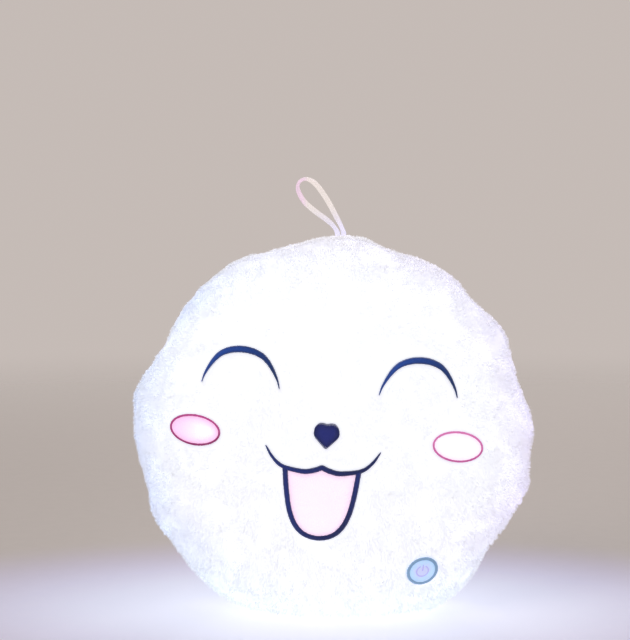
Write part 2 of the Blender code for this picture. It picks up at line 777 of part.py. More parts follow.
def face_prism(name, outlines):
    # Outlines of the face's frame, pushed through the front half of the cushion along Y
    placed = [[face_place(*point) for point in outline] for outline in outlines]
    prism = flat_outline(name, placed, BODY_DEPTH / 2)
    prism.rotation_euler = (math.pi / 2, 0.0, 0.0)
    prism.location = (0.0, -BODY_DEPTH / 2, 0.0)
    return as_mesh(prism)


def lay_on_skin(prism, covers):
    # Keeps only the thin layer between the two cover forms, so the piece follows the cushion
    boolean(prism, covers["outer"], "INTERSECT")
    return boolean(prism, covers["inner"])


def mirrored_path(half_shares, half_width, height, base):
    # Left half, then right half, of a line that crosses the face's middle
    right = [Vector((u * half_width, base + v * height)) for u, v in half_shares]
    left = [Vector((-point.x, point.y)) for point in right]
    if right[0].x == 0:
        return left[:0:-1] + right
    return left + right[-2::-1]


def shifted(path, u):
    return [Vector((point.x + u, point.y)) for point in path]


def face(covers):
    navy = (0.018, 0.035, 0.17)
    for name, side in (("left_eye", -1), ("right_eye", 1)):
        arc = smooth_path(mirrored_path(EYE_HALF_SHARES, EYE_WIDTH / 2, EYE_HEIGHT, EYE_V), FINE_TABLE_STEPS)
        eye = face_prism(name, [stroke_outline(shifted(arc, side * EYE_U), EYE_STROKE, EYE_TAPER_POWER)])
        finish(lay_on_skin(eye, covers), navy, 0.6)
    for name, side, roll in zip(("left_cheek", "right_cheek"), (-1, 1), CHEEK_ROLLS_DEGREES):
        outer, inner, middle = [
            oval(side * CHEEK_U, CHEEK_V, CHEEK_HALF_WIDTH - inset, CHEEK_HALF_HEIGHT - inset, roll)
            for inset in (0.0, CHEEK_STROKE, CHEEK_STROKE + FIT_GAP)
        ]
        finish(lay_on_skin(face_prism(name + "_edge", [outer, inner]), covers), (0.62, 0.06, 0.25), 0.6)
        finish(lay_on_skin(face_prism(name + "_fill", [middle]), covers), (0.95, 0.62, 0.80), 0.7)
    nose_half = mirrored_path(NOSE_HALF_SHARES[::-1], NOSE_HALF_WIDTH, NOSE_HALF_HEIGHT, 0.0)
    nose_path = smooth_path(nose_half[:-1], FINE_TABLE_STEPS)
    finish(lay_on_skin(face_prism("nose", [nose_path]), covers), (0.025, 0.02, 0.12), 0.6)

    lip_half = mirrored_path(LIP_HALF_SHARES, LIP_HALF_WIDTH, LIP_HEIGHT, LIP_V)
    jaw_half = mirrored_path(JAW_HALF_SHARES, JAW_HALF_WIDTH, JAW_DROP, LIP_V + JAW_TOP_ABOVE_LIP)
    lip_path = shifted(smooth_path(lip_half, CURVE_STEPS), MOUTH_U)
    jaw_path = shifted(smooth_path(jaw_half, CURVE_STEPS), MOUTH_U)
    lip = face_prism("lip_line", [stroke_outline(lip_path, LIP_STROKE, LIP_TAPER_POWER)])
    jaw = face_prism("jaw_line", [stroke_outline(jaw_path, JAW_STROKE, 0.0)])
    widened_lip = stroke_outline(lip_path, LIP_STROKE + FIT_GAP * 2, LIP_TAPER_POWER)
    widened_jaw = stroke_outline(jaw_path, JAW_STROKE + FIT_GAP * 2, 0.0)
    lip_clearance = as_cutter(face_prism("lip_clearance", [widened_lip]))
    jaw_clearance = as_cutter(face_prism("jaw_clearance", [widened_jaw]))
    mouth_edge = jaw_path[0].x, jaw_path[-1].x
    upper_edge = [point for point in lip_path if mouth_edge[0] < point.x < mouth_edge[1]]
    tongue = face_prism("tongue", [jaw_path + upper_edge[::-1]])
    boolean(jaw, lip_clearance)
    boolean(tongue, lip_clearance)
    boolean(tongue, jaw_clearance)
    finish(lay_on_skin(lip, covers), navy, 0.6)
    finish(lay_on_skin(jaw, covers), navy, 0.6)
    finish(lay_on_skin(tongue, covers), (0.97, 0.72, 0.80), 0.7)


# Switch
def switch_frame():
    place = skin_point(SWITCH_X, SWITCH_Z, -1)
    normal = skin_normal(SWITCH_X, SWITCH_Z, -1)
    return Matrix.Translation(place) @ normal.to_track_quat("Z", "Y").to_matrix().to_4x4()


def switch_levels():
    levels = {}
    levels["patch_top"] = PATCH_PROUD
    levels["patch_bottom"] = levels["patch_top"] - PATCH_THICKNESS
    levels["cap_top"] = levels["patch_bottom"] - FIT_GAP
    levels["pod_top"] = -POD_TOP_DEPTH
    levels["flange_top"] = levels["pod_top"] - POD_LIP - FIT_GAP
    levels["flange_bottom"] = levels["flange_top"] - CAP_FLANGE_THICKNESS
    levels["floor"] = levels["pod_top"] - POD_DEPTH + POD_WALL
    levels["pod_bottom"] = levels["pod_top"] - POD_DEPTH
    levels["board_bottom"] = levels["floor"] + FIT_GAP
    levels["board_top"] = levels["board_bottom"] + SWITCH_BOARD_THICKNESS
    levels["tact_bottom"] = levels["board_top"] + FIT_GAP
    levels["tact_top"] = levels["tact_bottom"] + TACT_HEIGHT
    levels["cap_ceiling"] = levels["cap_top"] - CAP_WALL
    return levels


def switch(covers, frame, levels):
    axis = bpy.data.objects.new("switch_axis", None)
    PARTS.objects.link(axis)
    axis.matrix_world = frame
    bpy.context.view_layer.update()
    pieces = []
    patch_half = PATCH_RADIUS - PATCH_EDGE_WIDTH - FIT_GAP
    patch = turned(
        "switch_patch",
        [
            (0.0, levels["patch_top"]),
            (patch_half - PATCH_ROUND, levels["patch_top"]),
            (patch_half, levels["patch_top"] - PATCH_ROUND),
            (patch_half, levels["patch_bottom"]),
            (0.0, levels["patch_bottom"]),
        ],
    )
    pieces.append(finish(patch, (0.55, 0.66, 0.95), 0.8))
    flange_radius = CAP_RADIUS + CAP_FLANGE_WIDTH
    cap = turned(
        "switch_cap",
        [
            (0.0, levels["cap_top"]),
            (CAP_RADIUS, levels["cap_top"]),
            (CAP_RADIUS, levels["flange_top"]),
            (flange_radius, levels["flange_top"]),
            (flange_radius, levels["flange_bottom"]),
            (CAP_RADIUS - CAP_WALL, levels["flange_bottom"]),
            (CAP_RADIUS - CAP_WALL, levels["cap_ceiling"]),
            (0.0, levels["cap_ceiling"]),
        ],
    )
    pieces.append(finish(cap, (0.90, 0.90, 0.90), 0.4))
    housing = turned(
        "switch_housing",
        [
            (0.0, levels["floor"]),
            (POD_RADIUS - POD_WALL, levels["floor"]),
            (POD_RADIUS - POD_WALL, levels["pod_top"] - POD_LIP),
            (CAP_RADIUS + FIT_GAP, levels["pod_top"] - POD_LIP),
            (CAP_RADIUS + FIT_GAP, levels["pod_top"]),
            (POD_RADIUS, levels["pod_top"]),
            (POD_RADIUS, levels["pod_bottom"]),
            (0.0, levels["pod_bottom"]),
        ],
    )
    pieces.append(finish(housing, (0.90, 0.90, 0.90), 0.4))
    board_radius = POD_RADIUS - POD_WALL - FIT_GAP
    board = turned(
        "switch_board",
        [
            (0.0, levels["board_top"]),
            (board_radius, levels["board_top"]),
            (board_radius, levels["board_bottom"]),
            (0.0, levels["board_bottom"]),
        ],
    )
    pieces.append(finish(board, (0.05, 0.30, 0.12), 0.5))
    side = TACT_SIDE / 2
    tact = box("tact_switch", (-side, -side, levels["tact_bottom"]), (side, side, levels["tact_top"]))
    well = TACT_STEM_RADIUS + FIT_GAP
    bore = as_cutter(
        turned(
            "tact_well",
            [
                (0.0, levels["tact_top"] + OVERRUN),
                (well, levels["tact_top"] + OVERRUN),
                (well, levels["tact_bottom"] + TACT_FLOOR),
                (0.0, levels["tact_bottom"] + TACT_FLOOR),
            ],
        )
    )
    boolean(tact, bore)
    pieces += [finish(tact, (0.04, 0.04, 0.05), 0.5), bore]
    stem = turned(
        "tact_stem",
        [
            (0.0, levels["cap_ceiling"] - FIT_GAP),
            (TACT_STEM_RADIUS, levels["cap_ceiling"] - FIT_GAP),
            (TACT_STEM_RADIUS, levels["tact_top"] - TACT_STEM_DEPTH),
            (0.0, levels["tact_top"] - TACT_STEM_DEPTH),
        ],
    )
    pieces.append(finish(stem, (0.10, 0.10, 0.10), 0.5))
    edge = turned(
        "switch_patch_edge",
        [
            (PATCH_RADIUS - PATCH_EDGE_WIDTH, OVERRUN),
            (PATCH_RADIUS, OVERRUN),
            (PATCH_RADIUS, -OVERRUN),
            (PATCH_RADIUS - PATCH_EDGE_WIDTH, -OVERRUN),
        ],
    )
    for piece in pieces + [edge]:
        piece.parent = axis
    finish(lay_on_skin(edge, covers), (0.28, 0.42, 0.68), 0.7)


def plug(name, frame, radius, top, bottom):
    cutter = turned(name, [(0.0, top), (radius, top), (radius, bottom), (0.0, bottom)])
    cutter.matrix_world = frame
    return as_cutter(cutter)


# Lamp
def lamp_frame():
    return Matrix.Translation(LAMP_AT) @ Matrix.Rotation(math.pi / 2, 4, "X")


def dome_arc(radius, height, base, steps):
    # A quarter of an oval, from the top down to its foot
    return [
        (radius * math.sin(math.pi / 2 * step / steps), base + height * math.cos(math.pi / 2 * step / steps))
        for step in range(steps + 1)
    ]


def lamp(frame):
    axis = bpy.data.objects.new("lamp_axis", None)
    PARTS.objects.link(axis)
    axis.matrix_world = frame
    bpy.context.view_layer.update()
    inner = LAMP_RADIUS - LAMP_WALL
    shoulder = inner - LAMP_SHOULDER_WIDTH
    base = turned(
        "light_base",
        [
            (0.0, -LAMP_DEPTH + LAMP_WALL),
            (shoulder, -LAMP_DEPTH + LAMP_WALL),
            (shoulder, -LAMP_SHOULDER_DEPTH),
            (inner, -LAMP_SHOULDER_DEPTH),
            (inner, 0.0),
            (LAMP_RADIUS, 0.0),
            (LAMP_RADIUS, -LAMP_DEPTH + LAMP_WALL),
            (LAMP_RADIUS - LAMP_WALL, -LAMP_DEPTH),
            (0.0, -LAMP_DEPTH),
        ],
    )
    finish(base, (0.92, 0.92, 0.92), 0.45)
    board_bottom = -LAMP_SHOULDER_DEPTH + FIT_GAP
    board_top = board_bottom + LAMP_BOARD_THICKNESS
    board_radius = inner - FIT_GAP
    board = turned(
        "light_board",
        [(0.0, board_top), (board_radius, board_top), (board_radius, board_bottom), (0.0, board_bottom)],
    )
    finish(board, (0.92, 0.93, 0.92), 0.4)
    skirt = inner - FIT_GAP
    flange_low = FIT_GAP
    flange_high = flange_low + DOME_FLANGE_THICKNESS
    outer_arc = dome_arc(skirt, DOME_HEIGHT, flange_high, DOME_STEPS)
    inner_arc = dome_arc(skirt - DOME_WALL, DOME_HEIGHT - DOME_WALL, flange_high, DOME_STEPS)
    diffuser = turned(
        "light_diffuser",
        [
            *outer_arc,
            (LAMP_RADIUS, flange_high),
            (LAMP_RADIUS, flange_low),
            (skirt, flange_low),
            (skirt, -DOME_SKIRT),
            (skirt - DOME_WALL, -DOME_SKIRT),
            *inner_arc[::-1],
        ],
    )
    finish(diffuser, (0.96, 0.97, 1.0), 0.3)
    pieces = [base, board, diffuser]
    led_bottom = board_top + FIT_GAP
    for number in range(LED_COUNT):
        angle = 2 * math.pi * (number + 0.5) / LED_COUNT
        x = LED_RING_RADIUS * math.cos(angle)
        y = LED_RING_RADIUS * math.sin(angle)
        half = LED_SIDE / 2
        led = box(
            f"led_{number + 1}",
            (x - half, y - half, led_bottom),
            (x + half, y + half, led_bottom + LED_HEIGHT),
            bevel=LED_ROUND,
        )
        pieces.append(finish(led, (0.98, 0.96, 0.80), 0.3))
    for piece in pieces:
        piece.parent = axis


def lamp_hollow(frame):
    grown = LAMP_RADIUS + STUFFING_GAP
    flange_high = FIT_GAP + DOME_FLANGE_THICKNESS
    arc = dome_arc(LAMP_RADIUS, DOME_HEIGHT + STUFFING_GAP, flange_high + STUFFING_GAP, DOME_STEPS)
    hollow = turned(
        "lamp_hollow",
        [
            *arc,
            (grown, flange_high + STUFFING_GAP),
            (grown, -LAMP_DEPTH - STUFFING_GAP),
            (0.0, -LAMP_DEPTH - STUFFING_GAP),
        ],
    )
    hollow.matrix_world = frame
    return as_cutter(hollow)


# Battery box
# A gap lies on both sides of each plate, and one between the spring and its cell
ROOM_LENGTH = CELL_LENGTH + CELL_NUB_LENGTH + SPRING_LENGTH + (PLATE_THICKNESS + FIT_GAP * 2) * 2 + FIT_GAP
ROOM_HEIGHT = CELL_PITCH * (CELL_COUNT - 1) + (CELL_RADIUS + FIT_GAP) * 2
ROOM_DEPTH = (CELL_RADIUS + FIT_GAP) * 2
BOX_LENGTH = ROOM_LENGTH + BOX_WALL * 2
BOX_HEIGHT = ROOM_HEIGHT + BOX_WALL * 2
COVER_IN_Y = BOX_FRONT_Y + BOX_WALL + ROOM_DEPTH + FIT_GAP
COVER_OUT_Y = COVER_IN_Y + COVER_THICKNESS
BOX_BACK_Y = COVER_OUT_Y + FIT_GAP + COVER_LIP
CELL_Y = BOX_FRONT_Y + BOX_WALL + ROOM_DEPTH / 2
BOX_LOW_X = BOX_X - BOX_LENGTH / 2
BOX_HIGH_X = BOX_X + BOX_LENGTH / 2
BOX_LOW_Z = ZIP_HEIGHT - BOX_HEIGHT / 2
BOX_HIGH_Z = ZIP_HEIGHT + BOX_HEIGHT / 2


def battery_box():
    tray = box("battery_box", (BOX_LOW_X, BOX_FRONT_Y, BOX_LOW_Z), (BOX_HIGH_X, BOX_BACK_Y, BOX_HIGH_Z))
    low_x = BOX_LOW_X + BOX_WALL
    high_x = BOX_HIGH_X - BOX_WALL
    low_z = BOX_LOW_Z + BOX_WALL
    high_z = BOX_HIGH_Z - BOX_WALL
    room_front_y = BOX_FRONT_Y + BOX_WALL
    room = as_cutter(box("box_room", (low_x, room_front_y, low_z), (high_x, BOX_BACK_Y + OVERRUN, high_z)))
    # The groove runs out at the box's right end, so the cover slides off that way
    groove = as_cutter(
        box(
            "box_groove",
            (low_x - COVER_GROOVE_DEPTH, COVER_IN_Y - FIT_GAP, low_z - COVER_GROOVE_DEPTH),
            (BOX_HIGH_X + OVERRUN, COVER_OUT_Y + FIT_GAP, high_z + COVER_GROOVE_DEPTH),
        )
    )
    gate = as_cutter(
        box(
            "box_gate",
            (high_x - OVERRUN, COVER_IN_Y - FIT_GAP, low_z),
            (BOX_HIGH_X + OVERRUN, BOX_BACK_Y + OVERRUN, high_z),
        )
    )
    boolean(tray, room)
    boolean(tray, groove)
    boolean(tray, gate)
    # Low ribs part the cells
    rib_top = BOX_FRONT_Y + BOX_WALL + ROOM_DEPTH * RIB_HEIGHT_SHARE
    for number in range(CELL_COUNT - 1):
        z = ZIP_HEIGHT + CELL_PITCH * (number - (CELL_COUNT - 2) / 2)
        rib = as_cutter(
            box(
                f"cell_rib_{number + 1}",
                (low_x - BOX_WALL / 2, BOX_FRONT_Y + BOX_WALL / 2, z - RIB_THICKNESS / 2),
                (high_x + BOX_WALL / 2, rib_top, z + RIB_THICKNESS / 2),
            )
        )
        boolean(tray, rib, "UNION")
    finish(tray, (0.93, 0.93, 0.94), 0.45)

    reach = COVER_GROOVE_DEPTH - FIT_GAP
    cover = box(
        "battery_cover",
        (low_x - reach, COVER_IN_Y, low_z - reach),
        (BOX_HIGH_X, COVER_OUT_Y, high_z + reach),
    )
    grip_x = BOX_HIGH_X - BOX_WALL - GRIP_PITCH * GRIP_COUNT
    for number in range(GRIP_COUNT):
        x = grip_x + GRIP_PITCH * number
        grip = as_cutter(
            box(
                f"cover_grip_{number + 1}",
                (x, COVER_OUT_Y - COVER_THICKNESS / 2, ZIP_HEIGHT - GRIP_LENGTH / 2),
                (x + GRIP_WIDTH, COVER_OUT_Y + GRIP_HEIGHT, ZIP_HEIGHT + GRIP_LENGTH / 2),
            )
        )
        boolean(cover, grip, "UNION")
    finish(cover, (0.93, 0.93, 0.94), 0.45)


def cell(number, z, side):
    # side 1 has its nub to the right, side -1 to the left
    nub_end = CELL_LENGTH + CELL_NUB_LENGTH
    profile = [
        (0.0, nub_end),
        (CELL_NUB_RADIUS, nub_end),
        (CELL_NUB_RADIUS, CELL_LENGTH),
        (CELL_RADIUS - CELL_ROUND, CELL_LENGTH),
        (CELL_RADIUS, CELL_LENGTH - CELL_ROUND),
        (CELL_RADIUS, CELL_ROUND),
        (CELL_RADIUS - CELL_ROUND, 0.0),
        (0.0, 0.0),
    ]
    battery = turned(f"battery_{number}", profile, steps=CELL_STEPS)
    plate_face = BOX_LENGTH / 2 - BOX_WALL - FIT_GAP - PLATE_THICKNESS
    tip = BOX_X + side * (plate_face - FIT_GAP)
    battery.location = (tip - side * nub_end, CELL_Y, z)
    battery.rotation_euler = (0.0, side * math.pi / 2, 0.0)
    finish(battery, (0.10, 0.30, 0.62), 0.3)

    half = PLATE_SIDE / 2
    for name, end in ((f"contact_plate_{number}", side), (f"spring_plate_{number}", -side)):
        faces = sorted((BOX_X + end * plate_face, BOX_X + end * (plate_face + PLATE_THICKNESS)))
        plate = box(name, (faces[0], CELL_Y - half, z - half), (faces[1], CELL_Y + half, z + half))
        finish(plate, (0.80, 0.80, 0.78), 0.25, 1.0)

    # A coil that narrows from its plate towards the cell
    wire = SPRING_WIRE_RADIUS
    start = BOX_X - side * (plate_face - FIT_GAP - wire)
    rise = SPRING_LENGTH - FIT_GAP - wire * 2
    count = round(SPRING_TURNS * SPRING_POINTS_PER_TURN)
    path = []
    for step in range(count + 1):
        share = step / count
        angle = 2 * math.pi * SPRING_TURNS * share
        radius = SPRING_BASE_RADIUS + (SPRING_TIP_RADIUS - SPRING_BASE_RADIUS) * share
        x = start + side * rise * share
        path.append((x, CELL_Y + radius * math.cos(angle), z + radius * math.sin(angle)))
    spring = tube(f"contact_spring_{number}", path, wire, bevel_resolution=1)
    finish(spring, (0.80, 0.80, 0.78), 0.25, 1.0)


def cells():
    for index in range(CELL_COUNT):
        z = ZIP_HEIGHT + CELL_PITCH * (index - (CELL_COUNT - 1) / 2)
        cell(index + 1, z, 1 if index % 2 == 0 else -1)


# Pocket
def pocket_form(name, grow, mouth_run):
    # A box-shaped pocket that narrows to the zip, grown on every side
    low_x = BOX_LOW_X - FIT_GAP - POCKET_WALL - grow
    high_x = BOX_HIGH_X + COVER_TRAVEL + POCKET_SPARE + POCKET_WALL + grow
    low_y = BOX_FRONT_Y - FIT_GAP - POCKET_WALL - grow
    half_z = BOX_HEIGHT / 2 + FIT_GAP + POCKET_WALL + grow
    middle_x = (low_x + high_x) / 2
    mouth_x = min(POCKET_MOUTH_WIDTH / 2, (high_x - low_x) / 2) + grow
    mouth_z = POCKET_MOUTH_HEIGHT / 2 + grow
    straight_y = low_y + POCKET_STRAIGHT + grow * 2
    mouth_y = on_zip(POCKET_MOUTH_WIDTH / 2, ZIP_TAPE_IN, 0.0).y - FIT_GAP + mouth_run
    bm = bmesh.new()
    for y, left, right, half in (
        (low_y, low_x, high_x, half_z),
        (straight_y, low_x, high_x, half_z),
        (mouth_y, middle_x - mouth_x, middle_x + mouth_x, mouth_z),
    ):
        for x in (left, right):
            for z in (ZIP_HEIGHT - half, ZIP_HEIGHT + half):
                bm.verts.new((x, y, z))
    bmesh.ops.convex_hull(bm, input=bm.verts)
    return add_object(name, bm)


def pocket(channels):
    bag = pocket_form("battery_pocket", 0.0, 0.0)
    boolean(bag, as_cutter(pocket_form("pocket_room", -POCKET_WALL, OVERRUN)))
    for channel in channels:
        boolean(bag, channel)
    finish(bag, (0.90, 0.90, 0.92), 0.9)


# Leads
def along_way(start, end, places):
    # Both ends, and between them each place at its share of the straight run, set off from it
    between = [start.lerp(end, share) + Vector(offset) for share, offset in places]
    return [start, *between, end]


def lead_routes(switch_place, levels):
    lead_gap = Vector((0.0, 0.0, FIT_GAP))
    run = Vector((0.0, 0.0, LEAD_RUN_OUT))
    box_top = Vector((LIGHT_LEAD_X, CELL_Y, BOX_HIGH_Z)) + lead_gap
    lamp_back = Vector((LAMP_AT[0], LAMP_AT[1] + LAMP_DEPTH + FIT_GAP, LAMP_AT[2]))
    back_run = Vector((0.0, LEAD_RUN_OUT, 0.0))
    light = [box_top, *along_way(box_top + run, lamp_back + back_run, LIGHT_LEAD_VIA), lamp_back]
    box_foot = Vector((SWITCH_LEAD_X, CELL_Y, BOX_LOW_Z)) - lead_gap
    pod_back = switch_place @ Vector((0.0, 0.0, levels["pod_bottom"] - FIT_GAP))
    pod_run = switch_place @ Vector((0.0, 0.0, levels["pod_bottom"] - FIT_GAP - LEAD_RUN_OUT))
    press = [box_foot, *along_way(box_foot - run, pod_run, SWITCH_LEAD_VIA), pod_back]
    return {"light_lead": light, "switch_lead": press}


def leads(routes):
    channels = []
    for name, points in routes.items():
        path = even_path(points, LEAD_SPACING)
        finish(tube(name, path, LEAD_RADIUS), (0.85, 0.85, 0.86), 0.5)
        channels.append(as_cutter(tube(name + "_channel", path, LEAD_RADIUS + STUFFING_GAP)))
    return channels


# Hanging loop
def loop_root():
    # Top of the drawn-in seam above the loop's x
    low, high = 0.0, BODY_CENTRE_HEIGHT
    for _ in range(SEARCH_STEPS):
        middle = (low + high) / 2
        angle = math.atan2(middle, LOOP_X)
        if body_point(Vector((math.cos(angle), 0.0, math.sin(angle)))).x > LOOP_X:
            low = middle
        else:
            high = middle
    return Vector((LOOP_X, 0.0, body_point(Vector((math.cos(angle), 0.0, math.sin(angle)))).z))


def hanging_loop(root):
    axis = bpy.data.objects.new("loop_axis", None)
    PARTS.objects.link(axis)
    axis.location = root + Vector((0.0, 0.0, TACK_PROUD + LOOP_RISE))
    bpy.context.view_layer.update()
    course = [Vector((x * LOOP_HEIGHT, 0.0, z * LOOP_HEIGHT)) for x, z in LOOP_SHARES]
    ends = [Vector((side * LOOP_ROOT_SPACING / 2, 0.0, 0.0)) for side in (1, -1)]
    path = smooth_path([ends[0], *course, ends[1]], LOOP_STEPS)
    bm = bmesh.new()
    sections = []
    for index, point in enumerate(path):
        share = index / (len(path) - 1) * (len(LOOP_TURNS_DEGREES) - 1)
        first = min(int(share), len(LOOP_TURNS_DEGREES) - 2)
        turns = LOOP_TURNS_DEGREES[first], LOOP_TURNS_DEGREES[first + 1]
        turn = math.radians(turns[0] + (turns[1] - turns[0]) * (share - first))
        direction = (path[min(len(path) - 1, index + 1)] - path[max(0, index - 1)]).normalized()
        sideways = Vector((-direction.z, 0.0, direction.x))
        across = sideways * math.cos(turn) + Vector((0.0, math.sin(turn), 0.0))
        through = across.cross(direction)
        corners = []
        for a, b in ((-1, -1), (1, -1), (1, 1), (-1, 1)):
            offset = across * a * LOOP_WIDTH / 2 + through * b * LOOP_THICKNESS / 2
            place = point + offset
            place.z = max(place.z, 0.0)
            corners.append(bm.verts.new(place))
        sections.append(corners)
    for before, after in zip(sections, sections[1:]):
        for i in range(4):
            j = (i + 1) % 4
            bm.faces.new((before[i], before[j], after[j], after[i]))
    bm.faces.new(sections[0][::-1])
    bm.faces.new(sections[-1])
    band = add_object("hanging_loop", bm, smooth_degrees=40)
    band.parent = axis
    finish(band, (0.95, 0.93, 0.93), 0.35)


def tack(name, root, grow):
    low = (LOOP_X - TACK_LENGTH / 2 - grow, -TACK_WIDTH / 2 - grow, root.z + TACK_PROUD - TACK_HEIGHT - grow)
    high = (LOOP_X + TACK_LENGTH / 2 + grow, TACK_WIDTH / 2 + grow, root.z + TACK_PROUD + grow)
    return box(name, low, high, bevel=0.0 if grow else TACK_ROUND)


# Body of the cushion, cut for everything that it holds
def body(switch_place, levels, root, channels):
    seam_front = front_side()
    seam_back = back_side()
    ground = table()
    inside = as_cutter(cushion("plush_inside", -PLUSH_THICKNESS))
    notch = as_cutter(tack("tack_notch", root, FIT_GAP))
    half = ZIP_TAPE_LENGTH / 2 + FIT_GAP
    far = ZIP_TAPE_PARTING / 2 + ZIP_TAPE_WIDTH + FIT_GAP
    bed_in = ZIP_TAPE_IN - FIT_GAP
    bed_out = ZIP_TAPE_OUT + FIT_GAP
    zip_bed = as_cutter(arc_bar("zip_bed", -half, half, bed_in, bed_out, ZIP_HEIGHT - far, ZIP_HEIGHT + far))
    half = ZIP_SLOT_LENGTH / 2
    low = ZIP_HEIGHT - ZIP_SLOT_HEIGHT / 2
    high = ZIP_HEIGHT + ZIP_SLOT_HEIGHT / 2
    zip_slot = as_cutter(arc_bar("zip_slot", -half, half, ZIP_TAPE_IN, ZIP_RADIUS + OVERRUN, low, high))
    hole = PATCH_RADIUS - PATCH_EDGE_WIDTH
    patch_hole = plug("patch_hole", switch_place, hole, OVERRUN, levels["flange_bottom"])

    front = cushion("front_panel", 0.0)
    for tool in (inside, seam_back, ground, notch, patch_hole):
        boolean(front, tool)
    finish(front, (0.93, 0.94, 1.0), 0.95)
    back = cushion("back_panel", 0.0)
    for tool in (inside, seam_front, ground, notch, zip_bed, zip_slot):
        boolean(back, tool)
    finish(back, (0.93, 0.94, 1.0), 0.95)

    stuffing = cushion("stuffing", -PLUSH_THICKNESS - STUFFING_GAP)
    pod_room = POD_RADIUS + STUFFING_GAP
    tools = [
        as_cutter(pocket_form("pocket_hollow", STUFFING_GAP, OVERRUN)),
        lamp_hollow(lamp_frame()),
        plug("switch_hollow", switch_place, pod_room, OVERRUN, levels["pod_bottom"] - STUFFING_GAP),
        zip_bed,
        notch,
        *channels,
    ]
    for tool in tools:
        boolean(stuffing, tool)
    finish(stuffing, (0.97, 0.97, 0.99), 1.0)


def build():
    levels = switch_levels()
    switch_place = switch_frame()
    root = loop_root()
    channels = leads(lead_routes(switch_place, levels))
    body(switch_place, levels, root, channels)
    covers = {
        "inner": as_cutter(cushion("cover_inner", FIT_GAP)),
        "outer": as_cutter(cushion("cover_outer", FIT_GAP + FELT_THICKNESS)),
    }
    face(covers)
    switch(covers, switch_place, levels)
    lamp(lamp_frame())
    battery_box()
    cells()
    pocket(channels)
    zip_tapes()
    teeth_length = zip_teeth()
    zip_stops(teeth_length)
    pivot = zip_slider(teeth_length)
    hanging_loop(root)
    finish(tack("loop_tack", root, 0.0), (0.95, 0.93, 0.93), 0.6)

    slider_along = teeth_length / 2 - SLIDER_LENGTH / 2
    print("switch at", [round(v, 5) for v in switch_place.translation])
    print("switch axis", [round(v, 5) for v in switch_place.to_3x3() @ Vector((0.0, 0.0, 1.0))])
    print("zip radius and centre y", round(ZIP_RADIUS, 5), round(ZIP_CENTRE_Y, 5))
    print("slider travel in degrees", round(math.degrees(2 * slider_along / ZIP_RADIUS), 3))
    print("pull pivot", [round(v, 5) for v in on_zip(slider_along, 1.0, 0.0)], round(pivot, 5))
    print("loop root", [round(v, 5) for v in root])


build()
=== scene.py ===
import json
import math

import bmesh
import bpy
import numpy as np
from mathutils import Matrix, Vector, noise
from mathutils.bvhtree import BVHTree


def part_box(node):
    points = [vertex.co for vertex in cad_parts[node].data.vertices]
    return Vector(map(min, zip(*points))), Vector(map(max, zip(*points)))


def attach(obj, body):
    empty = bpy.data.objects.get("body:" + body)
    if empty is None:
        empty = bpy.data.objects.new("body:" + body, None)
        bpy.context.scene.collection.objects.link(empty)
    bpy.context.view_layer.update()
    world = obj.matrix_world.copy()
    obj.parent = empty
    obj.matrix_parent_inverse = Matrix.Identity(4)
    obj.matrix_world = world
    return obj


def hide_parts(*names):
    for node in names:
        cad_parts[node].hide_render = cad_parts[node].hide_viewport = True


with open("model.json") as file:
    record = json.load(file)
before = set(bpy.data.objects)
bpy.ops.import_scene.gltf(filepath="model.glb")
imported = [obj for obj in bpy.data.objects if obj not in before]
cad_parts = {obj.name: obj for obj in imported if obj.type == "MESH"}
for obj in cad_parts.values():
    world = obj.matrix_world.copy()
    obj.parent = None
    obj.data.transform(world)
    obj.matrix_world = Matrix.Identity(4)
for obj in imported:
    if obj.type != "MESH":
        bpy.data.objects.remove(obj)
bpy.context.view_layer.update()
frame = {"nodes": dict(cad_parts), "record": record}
print("frame loaded with", len(frame["nodes"]), "nodes")

scene = bpy.context.scene
chance = np.random.default_rng(23)
noise.seed_set(23)


# Camera and the plain stage
view = {
    "distance": 1.3,
    "elevation": 8.0,
    "lookHeight": 0.164,
    "pitch": -4.03,
    "yaw": 0.676,
    "lens": 84.7,
    "sensor": 36.0,
}


def addObject(name, data):
    thing = bpy.data.objects.new(name, data)
    scene.collection.objects.link(thing)
    return thing


def placeCamera():
    data = bpy.data.cameras.new("viewCamera")
    data.lens = view["lens"]
    data.sensor_width = view["sensor"]
    data.sensor_fit = "HORIZONTAL"
    camera = addObject("viewCamera", data)
    rise = math.radians(view["elevation"])
    back = view["distance"] * math.cos(rise)
    camera.location = (0.0, -back, view["lookHeight"] + view["distance"] * math.sin(rise))
    camera.rotation_euler = (math.radians(90 + view["pitch"]), 0.0, math.radians(view["yaw"]))
    scene.camera = camera


studio = {
    "floorRadius": 6.0,
    "floorColour": (0.83, 0.73, 0.66),
    "floorRough": 0.55,
    "backColour": (0.56, 0.50, 0.47),
    "glowNear": (0.46, 0.60, 0.92),
    "glowFar": (0.22, 0.19, 0.92),
    "glowReach": (0.09, 0.38),
    "glowSpread": (0.72, 1.25, 1.0),
    "glowStrength": 0.5,
    "fade": (0.55, 2.6),
    "worldColour": (0.95, 0.97, 1.0),
    "worldStrength": 0.36,
    "lights": {
        "keyLight": ((-1.1, -1.3, 1.5), 1.2, 9.0, (1.0, 0.98, 0.96)),
        "fillLight": ((1.4, -0.9, 0.9), 1.4, 4.0, (0.94, 0.95, 1.0)),
        "backLight": ((0.3, 1.5, 1.3), 1.2, 4.0, (0.97, 0.95, 1.0)),
    },
}


def feed(tree, node, inputs):
    # Links a socket or sets a value; a colour gets its alpha
    for key, value in inputs.items():
        socket = node.inputs[key]
        if isinstance(value, bpy.types.NodeSocket):
            tree.links.new(value, socket)
        elif socket.type == "RGBA":
            socket.default_value = (*value, 1.0)
        else:
            socket.default_value = value


